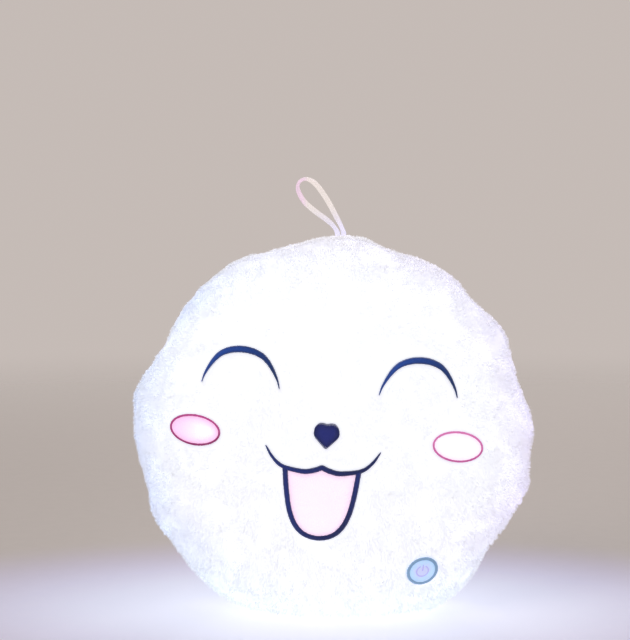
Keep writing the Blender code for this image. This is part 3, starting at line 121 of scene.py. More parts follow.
def addNode(tree, kind, settings=None, inputs=None):
    node = tree.nodes.new(kind)
    for key, value in (settings or {}).items():
        setattr(node, key, value)
    feed(tree, node, inputs or {})
    return node


def mathNode(tree, operation, first, second=0.0):
    return addNode(tree, "ShaderNodeMath", {"operation": operation}, {0: first, 1: second}).outputs[0]


def mapRange(tree, value, low, high, outLow=0.0, outHigh=1.0):
    inputs = {"Value": value, "From Min": low, "From Max": high, "To Min": outLow, "To Max": outHigh}
    return addNode(tree, "ShaderNodeMapRange", {"interpolation_type": "SMOOTHSTEP"}, inputs).outputs[0]


def mixColour(tree, share, first, second, blend="MIX"):
    # Sockets 6 and 7 of the Mix node are its colours
    settings = {"data_type": "RGBA", "blend_type": blend}
    return addNode(tree, "ShaderNodeMix", settings, {0: share, 6: first, 7: second}).outputs[2]


def multiplied(tree, first, second):
    return mixColour(tree, 1.0, first, second, "MULTIPLY")


def grey(value):
    return (value, value, value)


def greySocket(tree, value):
    return addNode(tree, "ShaderNodeCombineColor", {}, {0: value, 1: value, 2: value}).outputs[0]


def vectorMath(tree, operation, first, second=None):
    inputs = {0: first} if second is None else {0: first, 1: second}
    return addNode(tree, "ShaderNodeVectorMath", {"operation": operation}, inputs).outputs


def objectPlace(tree):
    return addNode(tree, "ShaderNodeTexCoord").outputs["Object"]


def scaledPlace(tree, scale):
    inputs = {0: objectPlace(tree), "Scale": scale}
    return addNode(tree, "ShaderNodeVectorMath", {"operation": "SCALE"}, inputs).outputs[0]


def stretchedPlace(tree, stretch):
    inputs = {"Vector": objectPlace(tree), "Scale": stretch}
    return addNode(tree, "ShaderNodeMapping", {}, inputs).outputs[0]


def axesOf(tree, place):
    return addNode(tree, "ShaderNodeSeparateXYZ", {}, {0: place}).outputs


def strandParts(tree):
    # Red runs along a blade or towards the middle of a shape, and carries the painted shade at a blade's root
    # and the painted light in the middle of a shape; green is each thread's own tone
    strand = addNode(tree, "ShaderNodeAttribute", {"attribute_name": "strand"}).outputs["Color"]
    return addNode(tree, "ShaderNodeSeparateColor", {}, {0: strand}).outputs


def noiseAt(tree, scale, detail=2.0, roughness=0.5, place=None):
    inputs = {"Vector": place or objectPlace(tree), "Scale": scale, "Detail": detail, "Roughness": roughness}
    return addNode(tree, "ShaderNodeTexNoise", {}, inputs).outputs["Fac"]


def newMaterial(name, values):
    material = bpy.data.materials.new(name)
    material.use_nodes = True
    tree = material.node_tree
    shader = tree.nodes["Principled BSDF"]
    feed(tree, shader, values)
    return material, tree, shader


def makeFloor():
    bm = bmesh.new()
    bmesh.ops.create_circle(bm, cap_ends=True, segments=96, radius=studio["floorRadius"])
    mesh = bpy.data.meshes.new("floor")
    bm.to_mesh(mesh)
    bm.free()
    floor = addObject("floor", mesh)

    values = {"Roughness": studio["floorRough"], "Emission Strength": studio["glowStrength"]}
    material, tree, shader = newMaterial("paleFloor", values)
    grain = mapRange(tree, noiseAt(tree, 60.0, 4.0), 0.3, 0.7)
    pale = studio["floorColour"]
    # The lamp's own light on the table, strongest by the foot of the cushion
    reach = vectorMath(tree, "LENGTH", stretchedPlace(tree, studio["glowSpread"]))["Value"]
    near = mapRange(tree, reach, *studio["glowReach"], 1.0, 0.0)
    tint = mixColour(tree, near, studio["glowFar"], studio["glowNear"])
    lit = {
        "Base Color": mixColour(tree, grain, [c * 0.985 for c in pale], pale),
        "Emission Color": mixColour(tree, near, grey(0.0), tint),
    }
    feed(tree, shader, lit)
    # The floor fades into the background far from the object, so no horizon shows
    far = mapRange(tree, vectorMath(tree, "LENGTH", objectPlace(tree))["Value"], *studio["fade"])
    clear = addNode(tree, "ShaderNodeBsdfTransparent")
    blend = addNode(tree, "ShaderNodeMixShader", {}, {0: far, 1: shader.outputs[0], 2: clear.outputs[0]})
    feed(tree, tree.nodes["Material Output"], {"Surface": blend.outputs[0]})
    mesh.materials.append(material)


def makeWorld():
    # The camera, metal and glass see the plain background, and the rest is lit by the pale world
    world = bpy.data.worlds.new("studioWorld")
    scene.world = world
    world.use_nodes = True
    tree = world.node_tree
    light = tree.nodes["Background"]
    feed(tree, light, {"Color": studio["worldColour"], "Strength": studio["worldStrength"]})
    seen = addNode(tree, "ShaderNodeBackground", {}, {"Color": studio["backColour"], "Strength": 1.0})
    path = addNode(tree, "ShaderNodeLightPath").outputs
    straight = mathNode(tree, "MAXIMUM", path["Is Camera Ray"], path["Is Glossy Ray"])
    straight = mathNode(tree, "MAXIMUM", straight, path["Is Transmission Ray"])
    mix = addNode(tree, "ShaderNodeMixShader", {}, {0: straight, 1: light.outputs[0], 2: seen.outputs[0]})
    feed(tree, tree.nodes["World Output"], {"Surface": mix.outputs[0]})


def areaLight(name, place, size, power, colour):
    data = bpy.data.lights.new(name, "AREA")
    data.shape = "DISK"
    data.size = size
    data.energy = power
    data.color = colour
    lamp = addObject(name, data)
    lamp.location = place
    aim = Vector((0.0, 0.0, view["lookHeight"])) - lamp.location
    lamp.rotation_mode = "QUATERNION"
    lamp.rotation_quaternion = aim.to_track_quat("-Z", "Y")


placeCamera()
makeFloor()
makeWorld()
for name, settings in studio["lights"].items():
    areaLight(name, *settings)
print("camera, floor and lights placed")


# Form of the cushion, the same as the frame's, at any fineness
cushion = {
    "width": 0.350,
    "depth": 0.168,
    "centreHeight": 0.1645,
    "seamDraw": 0.006,
    "rings": 16,
    "bulgeHeight": 0.050,
    "bulgeShare": 0.12,
    "pressStart": 0.006,
    "pressLost": 0.020,
    "pressCut": 0.0005,
    "outlineShares": (
        (0, 1.005), (14, 0.945), (30, 0.967), (41, 0.932), (50, 0.946), (62, 0.930), (71, 0.915),
        (84, 0.942), (100, 0.916), (111, 0.918), (121, 0.945), (140, 0.938), (158, 0.932), (169, 0.992),
        (180, 0.995), (197, 0.974), (208, 0.994), (219, 0.987), (234, 1.012), (250, 1.010), (270, 1.025),
        (290, 1.035), (309, 1.036), (321, 0.985), (332, 0.990), (342, 1.020), (352, 0.998),
    ),
}
halfDepth = cushion["depth"] / 2
halfWidth = cushion["width"] / 2 / math.cos(math.pi / cushion["rings"])
seamReachShare = math.sin(math.pi / cushion["rings"])


def smoothStep(low, high, value):
    t = np.clip((value - low) / (high - low), 0.0, 1.0)
    return t * t * (3 - 2 * t)


def unit(vectors):
    return vectors / np.maximum(np.linalg.norm(vectors, axis=-1, keepdims=True), 1e-12)


def outlineAt(angles):
    knots = np.array(cushion["outlineShares"], float)
    knots = np.vstack([knots[-2:] - (360, 0), knots, knots[:2] + (360, 0)])
    degrees = np.degrees(angles) % 360
    index = np.clip(np.searchsorted(knots[:, 0], degrees, side="right") - 1, 1, len(knots) - 3)
    before, start, end, after = knots[index - 1], knots[index], knots[index + 1], knots[index + 2]
    span = end[..., 0] - start[..., 0]
    t = (degrees - start[..., 0]) / span
    slopeIn = (end[..., 1] - before[..., 1]) / (end[..., 0] - before[..., 0]) * span
    slopeOut = (after[..., 1] - start[..., 1]) / (after[..., 0] - start[..., 0]) * span
    return (
        start[..., 1] * (2 * t**3 - 3 * t**2 + 1)
        + slopeIn * (t**3 - 2 * t**2 + t)
        + end[..., 1] * (3 * t**2 - 2 * t**3)
        + slopeOut * (t**3 - t**2)
    )


def rimRadius(share, outline):
    return halfWidth * share * (1 + (outline - 1) * share**2)


def pressed(points):
    # The table flattens the base and spreads it forwards and backwards
    y, z = points[..., 1], points[..., 2]
    low = np.clip((cushion["bulgeHeight"] - z) / cushion["bulgeHeight"], 0.0, 1.0)
    points[..., 1] = y * (1 + cushion["bulgeShare"] * low**2)
    start, lost, cut = cushion["pressStart"], cushion["pressLost"], cushion["pressCut"]
    rounding = (start + lost) / (start + cut)
    drop = np.clip((start - z) / (start + lost), 0.0, 1.0)
    flat = start - (start + cut) * (1 - (1 - drop) ** rounding)
    points[..., 2] = np.where(z < start, flat, z)
    return points


def cushionPoints(turn, angle):
    # turn runs from 0 in the middle of the face, over the seam at a quarter, to a half turn at the back
    share = np.sin(turn)
    radius = rimRadius(share, outlineAt(angle))
    radius = radius - cushion["seamDraw"] * np.maximum(0.0, 1 - np.abs(np.cos(turn)) / seamReachShare)
    x = radius * np.cos(angle)
    z = cushion["centreHeight"] + radius * np.sin(angle)
    return pressed(np.stack([x, -halfDepth * np.cos(turn), z], axis=-1))


def cushionNormals(turn, angle, step=0.004):
    along = cushionPoints(turn + step, angle) - cushionPoints(turn - step, angle)
    wide = step / np.maximum(np.sin(turn), 0.05)
    across = cushionPoints(turn, angle + wide) - cushionPoints(turn, angle - wide)
    normals = unit(np.cross(across, along))
    middle = np.array((0.0, 0.0, cushion["centreHeight"]))
    inward = np.sum(normals * (cushionPoints(turn, angle) - middle), axis=-1) < 0
    normals[inward] *= -1
    return normals


def skinPoints(x, z, side):
    # The cushion's skin on the front (side -1) or the back (side 1) at given x and z
    x, z = np.asarray(x, float), np.asarray(z, float)
    angle = np.arctan2(z - cushion["centreHeight"], x)
    outline = outlineAt(angle)
    wanted = np.hypot(x, z - cushion["centreHeight"])
    low, high = np.zeros_like(wanted), np.ones_like(wanted)
    for _ in range(30):
        middle = (low + high) / 2
        short = rimRadius(middle, outline) < wanted
        low, high = np.where(short, middle, low), np.where(short, high, middle)
    y = side * halfDepth * np.sqrt(np.maximum(0.0, 1 - low**2))
    return pressed(np.stack([x, y, z], axis=-1))


def skinNormals(x, z, side, step=0.001):
    across = skinPoints(x + step, z, side) - skinPoints(x - step, z, side)
    along = skinPoints(x, z + step, side) - skinPoints(x, z - step, side)
    normals = unit(np.cross(across, along))
    return np.where(normals[..., 1:2] * side > 0, normals, -normals)


def onSkin(x, z, side, lift):
    # Places raised above the skin, and the skin's normals there
    normals = skinNormals(x, z, side)
    return skinPoints(x, z, side) + normals * np.asarray(lift)[..., None], normals


def withoutPart(vectors, normals):
    return vectors - normals * np.sum(vectors * normals, axis=-1, keepdims=True)


def distancesAlong(path):
    return np.concatenate([[0.0], np.cumsum(np.linalg.norm(np.diff(path, axis=0), axis=1))])


def allRound(count):
    return 2 * math.pi * np.arange(count) / count


def between(first, last, t):
    # Points along the lines from each first place to each last one
    return first[:, None, :] * (1 - t)[None, :, None] + last[:, None, :] * t[None, :, None]


def crownOf(t, power=2):
    return np.sqrt(np.maximum(0.0, 1 - np.abs(2 * t - 1) ** power))


def noiseField(places, scale):
    return np.array([noise.noise(Vector(place) * scale) for place in places])


def noiseVectors(places, scale):
    return np.array([noise.noise_vector(Vector(place) * scale) for place in places])


# Places on the cushion that the pile leaves free
faceNodes = [
    "left_eye", "right_eye", "left_cheek_edge", "left_cheek_fill", "right_cheek_edge", "right_cheek_fill",
    "nose", "lip_line", "jaw_line", "tongue", "switch_patch_edge", "switch_patch",
]
gapMap = {"low": -0.185, "high": 0.345, "cells": 530, "most": 0.02, "rows": (0.02, 0.26), "side": 0.15}


def featureGaps():
    # How far each place of the front, seen along Y, is from the nearest stitched piece
    verts, faces = [], []
    for name in faceNodes:
        mesh = frame["nodes"][name].data
        start = len(verts)
        verts += [(v.co.x, 0.0, v.co.z) for v in mesh.vertices]
        faces += [[start + i for i in polygon.vertices] for polygon in mesh.polygons]
    tree = BVHTree.FromPolygons(verts, faces)
    ticks = np.linspace(gapMap["low"], gapMap["high"], gapMap["cells"])
    gaps = np.full((len(ticks), len(ticks)), gapMap["most"])
    lowest, highest = gapMap["rows"]
    for row, z in enumerate(ticks):
        if not lowest < z < highest:
            continue
        for column, x in enumerate(ticks):
            if abs(x) < gapMap["side"]:
                gaps[row, column] = min(gapMap["most"], tree.find_nearest((x, 0.0, z))[3])
    return gaps


gapTable = featureGaps()
print("free places found round the stitched pieces")


def gapAt(places):
    # The table, read between its cells; the back has none of these pieces
    scale = (gapMap["cells"] - 1) / (gapMap["high"] - gapMap["low"])
    column = np.clip((places[..., 0] - gapMap["low"]) * scale, 0, gapMap["cells"] - 1.001)
    row = np.clip((places[..., 2] - gapMap["low"]) * scale, 0, gapMap["cells"] - 1.001)
    i, j = row.astype(int), column.astype(int)
    s, t = row - i, column - j
    upper = gapTable[i + 1, j] * (1 - t) + gapTable[i + 1, j + 1] * t
    lower = gapTable[i, j] * (1 - t) + gapTable[i, j + 1] * t
    return np.where(places[..., 1] < 0, upper * s + lower * (1 - s), gapMap["most"])


# Shared effects, as node groups
def newGroup(name, inputs, outputs):
    group = bpy.data.node_groups.new(name, "ShaderNodeTree")
    for label, kind, value in inputs:
        socket = group.interface.new_socket(name=label, in_out="INPUT", socket_type=kind)
        socket.default_value = value
    for label, kind in outputs:
        group.interface.new_socket(name=label, in_out="OUTPUT", socket_type=kind)
    return group, group.nodes.new("NodeGroupInput").outputs, group.nodes.new("NodeGroupOutput").inputs


glow = {
    "middle": (1.0, 1.0, 1.0),
    "left": (0.66, 0.75, 1.0),
    "right": (0.85, 0.76, 0.97),
    "top": (0.94, 0.86, 0.92),
    "base": (0.86, 0.96, 1.0),
    "behind": (0.70, 0.74, 0.84),
    "boxShade": (0.72, 0.72, 0.78),
    "boxAt": (0.0, 0.0, -0.30),
    "boxReach": (0.12, 0.42),
    "rim": (0.66, 1.04),
}


def makeInsideGlow():
    # Light from inside: white in the middle, lavender and blue where the filling is thinnest at the rim
    group, _, out = newGroup("insideGlow", [], [("Colour", "NodeSocketColor")])
    place = axesOf(group, objectPlace(group))
    x = mathNode(group, "DIVIDE", place["X"], halfWidth)
    z = mathNode(group, "DIVIDE", mathNode(group, "SUBTRACT", place["Z"], cushion["centreHeight"]), halfWidth)
    flat = addNode(group, "ShaderNodeCombineXYZ", {}, {"X": x, "Z": z}).outputs[0]
    radius = vectorMath(group, "LENGTH", flat)["Value"]
    uneven = mapRange(group, noiseAt(group, 18.0, 3.0), 0.3, 0.7, -0.035, 0.035)
    rim = mapRange(group, mathNode(group, "ADD", radius, uneven), *glow["rim"])
    edge = mixColour(group, mapRange(group, x, -0.5, 0.6), glow["left"], glow["right"])
    edge = mixColour(group, mapRange(group, z, 0.55, 1.0), edge, glow["top"])
    edge = mixColour(group, mapRange(group, z, -0.35, -0.95), edge, glow["base"])
    shown = mixColour(group, rim, glow["middle"], edge)
    # The lamp faces forwards and the battery box stands behind it
    away = mapRange(group, place["Y"], 0.0, halfDepth)
    shown = mixColour(group, away, shown, multiplied(group, shown, glow["behind"]))
    boxAway = vectorMath(group, "DISTANCE", flat, glow["boxAt"])["Value"]
    shade = mathNode(group, "MULTIPLY", mapRange(group, boxAway, *glow["boxReach"], 1.0, 0.0), away)
    shown = mixColour(group, shade, shown, multiplied(group, shown, glow["boxShade"]))
    group.links.new(shown, out["Colour"])
    return group


surface = [("Height", "NodeSocketFloat"), ("Tone", "NodeSocketFloat")]


def makeThreadTwist():
    # Fine slanting plies of a thread and its uneven dye
    group, given, out = newGroup("threadTwist", [("Pitch", "NodeSocketFloat", 0.0004)], surface)
    place = scaledPlace(group, mathNode(group, "DIVIDE", 1.0, given["Pitch"]))
    inputs = {"Vector": place, "Scale": 0.35, "Distortion": 1.5, "Detail": 1.0}
    wave = addNode(group, "ShaderNodeTexWave", {"bands_direction": "DIAGONAL"}, inputs)
    group.links.new(wave.outputs["Fac"], out["Height"])
    group.links.new(mapRange(group, noiseAt(group, 900.0, 2.0), 0.3, 0.7, 0.82, 1.0), out["Tone"])
    return group


def makeClothWeave():
    # Plain weave: warp and weft that pass over each other, with painted shade darkening the hollows where the
    # yarns dip
    group, given, out = newGroup("clothWeave", [("Pitch", "NodeSocketFloat", 0.0006)], surface)
    place = axesOf(group, scaledPlace(group, mathNode(group, "DIVIDE", math.pi, given["Pitch"])))
    warp = mathNode(group, "SINE", place["X"])
    weft = mathNode(group, "SINE", place["Z"])
    crossed = mathNode(group, "MULTIPLY", warp, weft)
    height = mathNode(group, "ABSOLUTE", mathNode(group, "ADD", crossed, 0.15))
    group.links.new(height, out["Height"])
    group.links.new(mapRange(group, height, 0.0, 0.9, 0.86, 1.0), out["Tone"])
    return group


def makeFineGrain():
    # Moulded or plated surface: a fine grain with faint wear
    outputs = [*surface, ("Wear", "NodeSocketFloat")]
    group, given, out = newGroup("fineGrain", [("Scale", "NodeSocketFloat", 900.0)], outputs)
    grain = addNode(group, "ShaderNodeTexNoise", {}, {"Vector": objectPlace(group), "Scale": given["Scale"]})
    patches = noiseAt(group, 120.0, 4.0, 0.65)
    group.links.new(grain.outputs["Fac"], out["Height"])
    group.links.new(mapRange(group, patches, 0.25, 0.75, 0.93, 1.0), out["Tone"])
    group.links.new(mapRange(group, patches, 0.55, 0.75), out["Wear"])
    return group


insideGlow = makeInsideGlow()
threadTwist = makeThreadTwist()
clothWeave = makeClothWeave()
fineGrain = makeFineGrain()


# Place of the press patch, as in the frame
press = {"radius": 0.0134, "border": 0.0019, "at": (0.0758, 0.0463), "axis": (0.25395, -0.89016, -0.37831)}


# Materials
def placeGroup(tree, group, inputs=None):
    return addNode(tree, "ShaderNodeGroup", {"node_tree": group}, inputs).outputs


def bumpFrom(tree, shader, height, distance):
    bump = addNode(tree, "ShaderNodeBump", {}, {"Strength": 1.0, "Distance": distance, "Height": height})
    feed(tree, shader, {"Normal": bump.outputs[0]})


def paint(tree, shader, tint, glowStrength):
    feed(tree, shader, {"Base Color": tint})
    if glowStrength:
        feed(tree, shader, {"Emission Color": tint, "Emission Strength": glowStrength})


pile = {
    "spacing": 0.0029,
    "blades": 8,
    "depth": 0.0040,
    "length": 0.0036,
    "width": 0.00050,
    "lean": 0.64,
    "down": 0.45,
    "clump": 0.55,
    "lumps": ((72.0, 0.0014), (190.0, 0.0008)),
    "lowFull": 0.0028,
    "lowFrom": (0.15, 0.50),
    "swirl": 1.5,
    "swirlScales": (46.0, 140.0),
    "tuftSlip": 0.32,
    "tuftSpread": 0.38,
    "stray": 0.24,
    "sink": 0.0004,
    "bow": 0.13,
    "shortened": {"stitches": (0.45, 0.55, (0.0004, 0.0040)), "slot": (0.34, 0.66, (0.0020, 0.0140))},
    "free": {"stitches": 0.0004, "patch": 0.0002, "slot": 0.0024, "foot": 0.0026},
    "tack": {"x": 0.0072, "halfWidth": 0.0056, "halfDepth": 0.0018, "above": 0.31},
    "lowest": 0.0005,
    "parts": (("Upper", 0.175, 1.0), ("Lower", -1.0, 0.175)),
    # Painted shade at the roots of the pile: the share of the glow left at a blade's root, and below, the
    # colour painted at its root
    "rootGlowInShade": 0.78,
    "dullest": 0.90,
    "rootShadeColour": (0.63, 0.66, 0.77),
    "tipColour": (0.92, 0.92, 0.93),
    "glowStrength": 0.625,
}


def pileMaterial():
    values = {"Roughness": 0.9, "Sheen Weight": 0.2, "Sheen Roughness": 0.4}
    material, tree, shader = newMaterial("plushPile", {**values, "Emission Strength": pile["glowStrength"]})
    parts = strandParts(tree)
    # Painted shade: each blade runs from the root shade colour to its pale tip, and its glow dims towards the
    # root, as shade falls deep in the pile; each tuft also has its own random tone
    tint = mixColour(tree, mapRange(tree, parts["Red"], 0.0, 0.8), pile["rootShadeColour"], pile["tipColour"])
    uneven = mapRange(tree, parts["Green"], 0.0, 1.0, pile["dullest"], 1.0)
    deep = mapRange(tree, parts["Red"], 0.0, 1.0, pile["rootGlowInShade"], 1.0)
    rootShadeAndTone = greySocket(tree, mathNode(tree, "MULTIPLY", deep, uneven))
    inside = placeGroup(tree, insideGlow)["Colour"]
    lit = {
        "Base Color": multiplied(tree, tint, greySocket(tree, uneven)),
        "Emission Color": multiplied(tree, inside, rootShadeAndTone),
    }
    feed(tree, shader, lit)
    return material


def backingMaterial():
    values = {"Roughness": 0.95, "Sheen Weight": 0.2, "Emission Strength": pile["glowStrength"]}
    material, tree, shader = newMaterial("plushBacking", values)
    knit = noiseAt(tree, 700.0, 3.0, 0.6)
    inside = placeGroup(tree, insideGlow)["Colour"]
    # Painted shade: the backing under the pile takes the pile's root shade colour, mixed with a paler grey by
    # the knit, and its glow is mixed 35 percent towards that shade colour
    lit = {
        "Base Color": mixColour(tree, knit, pile["rootShadeColour"], (0.85, 0.85, 0.88)),
        "Emission Color": mixColour(tree, 0.35, inside, pile["rootShadeColour"]),
    }
    feed(tree, shader, lit)
    bumpFrom(tree, shader, knit, 0.0006)
    return material


def shaded(tree, tone, colour, share):
    # From the colour in full down to its given share, as the tone falls
    socket = isinstance(colour, bpy.types.NodeSocket)
    deep = multiplied(tree, colour, grey(share)) if socket else [c * share for c in colour]
    return mixColour(tree, tone, deep, colour)


def threadMaterial(name, colour, deepShare, glowStrength, middle=None, sheen=0.35):
    # Stitched thread: each stitch has its own tone, and its plies catch the light
    values = {"Roughness": 0.45, "Sheen Weight": sheen, "Sheen Roughness": 0.35}
    material, tree, shader = newMaterial(name, values)
    twist = placeGroup(tree, threadTwist, {"Pitch": 0.0004})
    parts = strandParts(tree)
    tone = mathNode(tree, "MULTIPLY", twist["Tone"], mapRange(tree, parts["Green"], 0.0, 1.0, 0.80, 1.0))
    if middle:
        # Painted light: the colour in the middle is a painted highlight along the crown of a satin line, and
        # painted light of the lamp shining through the middle of a filled shape
        colour = mixColour(tree, parts["Red"], colour, middle)
    paint(tree, shader, shaded(tree, tone, colour, deepShare), glowStrength)
    bumpFrom(tree, shader, twist["Height"], 0.00012)
    return material


cloth = {"shade": 0.6, "middleReach": (0.0035, 0.0100), "middleUneven": 0.0018, "bump": 0.4}


def clothMaterial(name, colour, pitch, glowStrength=0.0, middle=None, centre=None):
    values = {"Roughness": 0.85, "Sheen Weight": 0.3, "Sheen Roughness": 0.5}
    material, tree, shader = newMaterial(name, values)
    weave = placeGroup(tree, clothWeave, {"Pitch": pitch})
    if middle:
        away = vectorMath(tree, "DISTANCE", objectPlace(tree), centre)["Value"]
        most = cloth["middleUneven"]
        uneven = mapRange(tree, noiseAt(tree, 260.0, 2.0), 0.3, 0.7, -most, most)
        away = mapRange(tree, mathNode(tree, "ADD", away, uneven), *cloth["middleReach"])
        colour = mixColour(tree, away, middle, colour)
    paint(tree, shader, shaded(tree, weave["Tone"], colour, cloth["shade"]), glowStrength)
    bumpFrom(tree, shader, weave["Height"], pitch * cloth["bump"])
    return material


# Painted reflections and a painted glow on the white satin ribbon
satin = {
    "lowReflection": (0.84, 0.80, 0.97),
    "highReflection": (0.98, 0.89, 0.84),
    "rise": (0.328, 0.356),
    "pinkReflection": (0.97, 0.74, 0.88),
    "pinkReflectionReach": (-0.020, -0.027),
    "shade": 0.90,
    "glowStrength": 0.30,
}


def satinMaterial():
    # Ribbon: a close sheen along the band, on white satin with painted reflections: lavender low down from
    # the light of the cushion below, cream higher up and pink on the upper left of the bend, and a painted
    # glow
    values = {"Roughness": 0.26, "Sheen Weight": 0.3, "Sheen Roughness": 0.25, "Specular IOR Level": 0.7}
    material, tree, shader = newMaterial("satinBand", {**values, "Emission Strength": satin["glowStrength"]})
    place = axesOf(tree, objectPlace(tree))
    rise = mapRange(tree, place["Z"], *satin["rise"])
    tint = mixColour(tree, rise, satin["lowReflection"], satin["highReflection"])
    pinkReflectionShare = mathNode(tree, "MULTIPLY", mapRange(tree, place["X"], *satin["pinkReflectionReach"]), rise)
    tint = mixColour(tree, pinkReflectionShare, tint, satin["pinkReflection"])
    fibre = mapRange(tree, noiseAt(tree, 900.0, 2.0), 0.3, 0.7)
    feed(tree, shader, {"Base Color": shaded(tree, fibre, tint, satin["shade"]), "Emission Color": tint})
    bumpFrom(tree, shader, fibre, 0.00003)
    return material


def mouldedMaterial(name, colour, roughness, grainScale=900.0, glowStrength=0.0, coat=0.0):
    material, tree, shader = newMaterial(name, {"Coat Weight": coat})
    grain = placeGroup(tree, fineGrain, {"Scale": grainScale})
    paint(tree, shader, shaded(tree, grain["Tone"], colour, 0.72), glowStrength)
    rough = mapRange(tree, grain["Wear"], 0.0, 1.0, roughness, min(1.0, roughness + 0.15))
    feed(tree, shader, {"Roughness": rough})
    bumpFrom(tree, shader, grain["Height"], 0.00005)
    return material


def metalMaterial(name, colour, roughness, brushed):
    material, tree, shader = newMaterial(name, {"Metallic": 1.0})
    streaks = noiseAt(tree, 60.0, 4.0, 0.6, stretchedPlace(tree, brushed))
    wear = placeGroup(tree, fineGrain, {"Scale": 1400.0})["Wear"]
    lit = {
        "Base Color": mixColour(tree, wear, colour, [c * 0.82 for c in colour]),
        "Roughness": mapRange(tree, streaks, 0.3, 0.7, roughness - 0.06, roughness + 0.10),
    }
    feed(tree, shader, lit)
    bumpFrom(tree, shader, streaks, 0.00003)
    return material


patchCentre = (press["at"][0], skinPoints(*press["at"], -1)[1], press["at"][1])
# Name: colour, share of it in the shade, glow, colour in the middle (painted highlight and painted glow),
# sheen
threads = {
    "eyeThread": ((0.005, 0.024, 0.115), 0.45, 0.42, (0.012, 0.068, 0.360)),
    "lipThread": ((0.005, 0.013, 0.090), 0.45, 0.42, (0.011, 0.026, 0.185)),
    "noseThread": ((0.006, 0.012, 0.095), 0.50, 0.44, (0.012, 0.021, 0.185)),
    # The right cheek's edge and fill threads are paler copies of the left's, painted light where more of the
    # lamp shines through
    "magentaThread": ((0.30, 0.030, 0.15), 0.60, 0.40, (0.62, 0.080, 0.33)),
    "roseThread": ((0.56, 0.12, 0.35), 0.65, 0.45, (0.78, 0.22, 0.52)),
    "leftCheekThread": ((0.97, 0.62, 0.87), 0.80, 0.52, (1.0, 0.95, 0.99), 0.2),
    "rightCheekThread": ((0.98, 0.86, 0.96), 0.84, 0.53, (1.0, 0.98, 1.0), 0.2),
    "tongueThread": ((0.96, 0.72, 0.91), 0.78, 0.46, (0.99, 0.90, 0.97), 0.2),
    "patchThread": ((0.11, 0.21, 0.34), 0.55, 0.50, (0.21, 0.34, 0.50)),
    "markThread": ((0.50, 0.47, 0.76), 0.6, 0.50),
    "tackThread": ((0.92, 0.88, 0.93), 0.8, 0.35),
}
# Name: colour, pitch of the weave, glow, colour in the middle, middle
cloths = {
    "patchCloth": ((0.53, 0.74, 0.98), 0.0007, 0.55, (0.60, 0.63, 0.89), patchCentre),
    "tapeCloth": ((0.80, 0.82, 0.86), 0.0005, 0.10),
    "pocketCloth": ((0.84, 0.85, 0.90), 0.0008),
    "fibreFill": ((0.92, 0.92, 0.95), 0.0030, 0.4),
}
# Name: colour, roughness, scale of the grain, glow, coat
mouldings = {
    "whiteMoulding": ((0.86, 0.86, 0.88), 0.42),
    "milkyDome": ((0.92, 0.94, 1.0), 0.30, 500.0, 0.9),
    "lampBoard": ((0.86, 0.88, 0.86), 0.35, 1500.0, 0.0, 0.3),
    "switchBoard": ((0.03, 0.24, 0.09), 0.35, 1500.0, 0.0, 0.4),
    "lampChip": ((1.0, 0.94, 0.70), 0.25, 800.0, 1.0),
    "blackMoulding": ((0.03, 0.03, 0.035), 0.45),
    "cellSleeve": ((0.06, 0.22, 0.52), 0.22, 300.0, 0.0, 0.6),
    "zipNylon": ((0.86, 0.88, 0.92), 0.30, 1200.0, 0.08),
    "leadSheath": ((0.80, 0.80, 0.82), 0.55),
}
# Name: colour, roughness, stretch of its brushed streaks
metals = {
    "platedContact": ((0.78, 0.77, 0.74), 0.24, (1.0, 8.0, 1.0)),
    "platedZip": ((0.82, 0.89, 1.0), 0.22, (12.0, 1.0, 1.0)),
}
looks = {"plushPile": pileMaterial(), "plushBacking": backingMaterial(), "satinBand": satinMaterial()}
for make, family in (
    (threadMaterial, threads),
    (clothMaterial, cloths),
    (mouldedMaterial, mouldings),
    (metalMaterial, metals),
):
    looks.update({name: make(name, *values) for name, values in family.items()})
print("materials made:", len(bpy.data.materials))


# Mesh helpers
def addPiece(name, mesh, material, body):
    piece = addObject(name, mesh)
    mesh.materials.append(looks[material])
    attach(piece, body)
    return piece


def makePiece(name, verts, faces, material, body):
    mesh = bpy.data.meshes.new(name)
    mesh.from_pydata([tuple(v) for v in verts], [], faces)
    mesh.shade_smooth()
    return addPiece(name, mesh, material, body)


def gridFaces(rows, columns, closed):
    # Quads between rows of points, joined round where closed
    faces = []
    for r in range(rows - 1):
        near, far = r * columns, (r + 1) * columns
        for c in range(columns if closed else columns - 1):
            n = (c + 1) % columns
            faces.append((near + c, near + n, far + n, far + c))
    return faces


def endCaps(first, rows, columns, flipped=False):
    # Faces that close both ends of a swept grid
    near = list(range(first, first + columns))
    far = list(range(first + (rows - 1) * columns, first + rows * columns))
    return [near, far[::-1]] if flipped else [near[::-1], far]


def facesOutward(piece, sharp=None):
    bm = bmesh.new()
    bm.from_mesh(piece.data)
    bmesh.ops.recalc_face_normals(bm, faces=bm.faces)
    bm.to_mesh(piece.data)
    bm.free()
    if sharp:
        piece.data.set_sharp_from_angle(angle=math.radians(sharp))


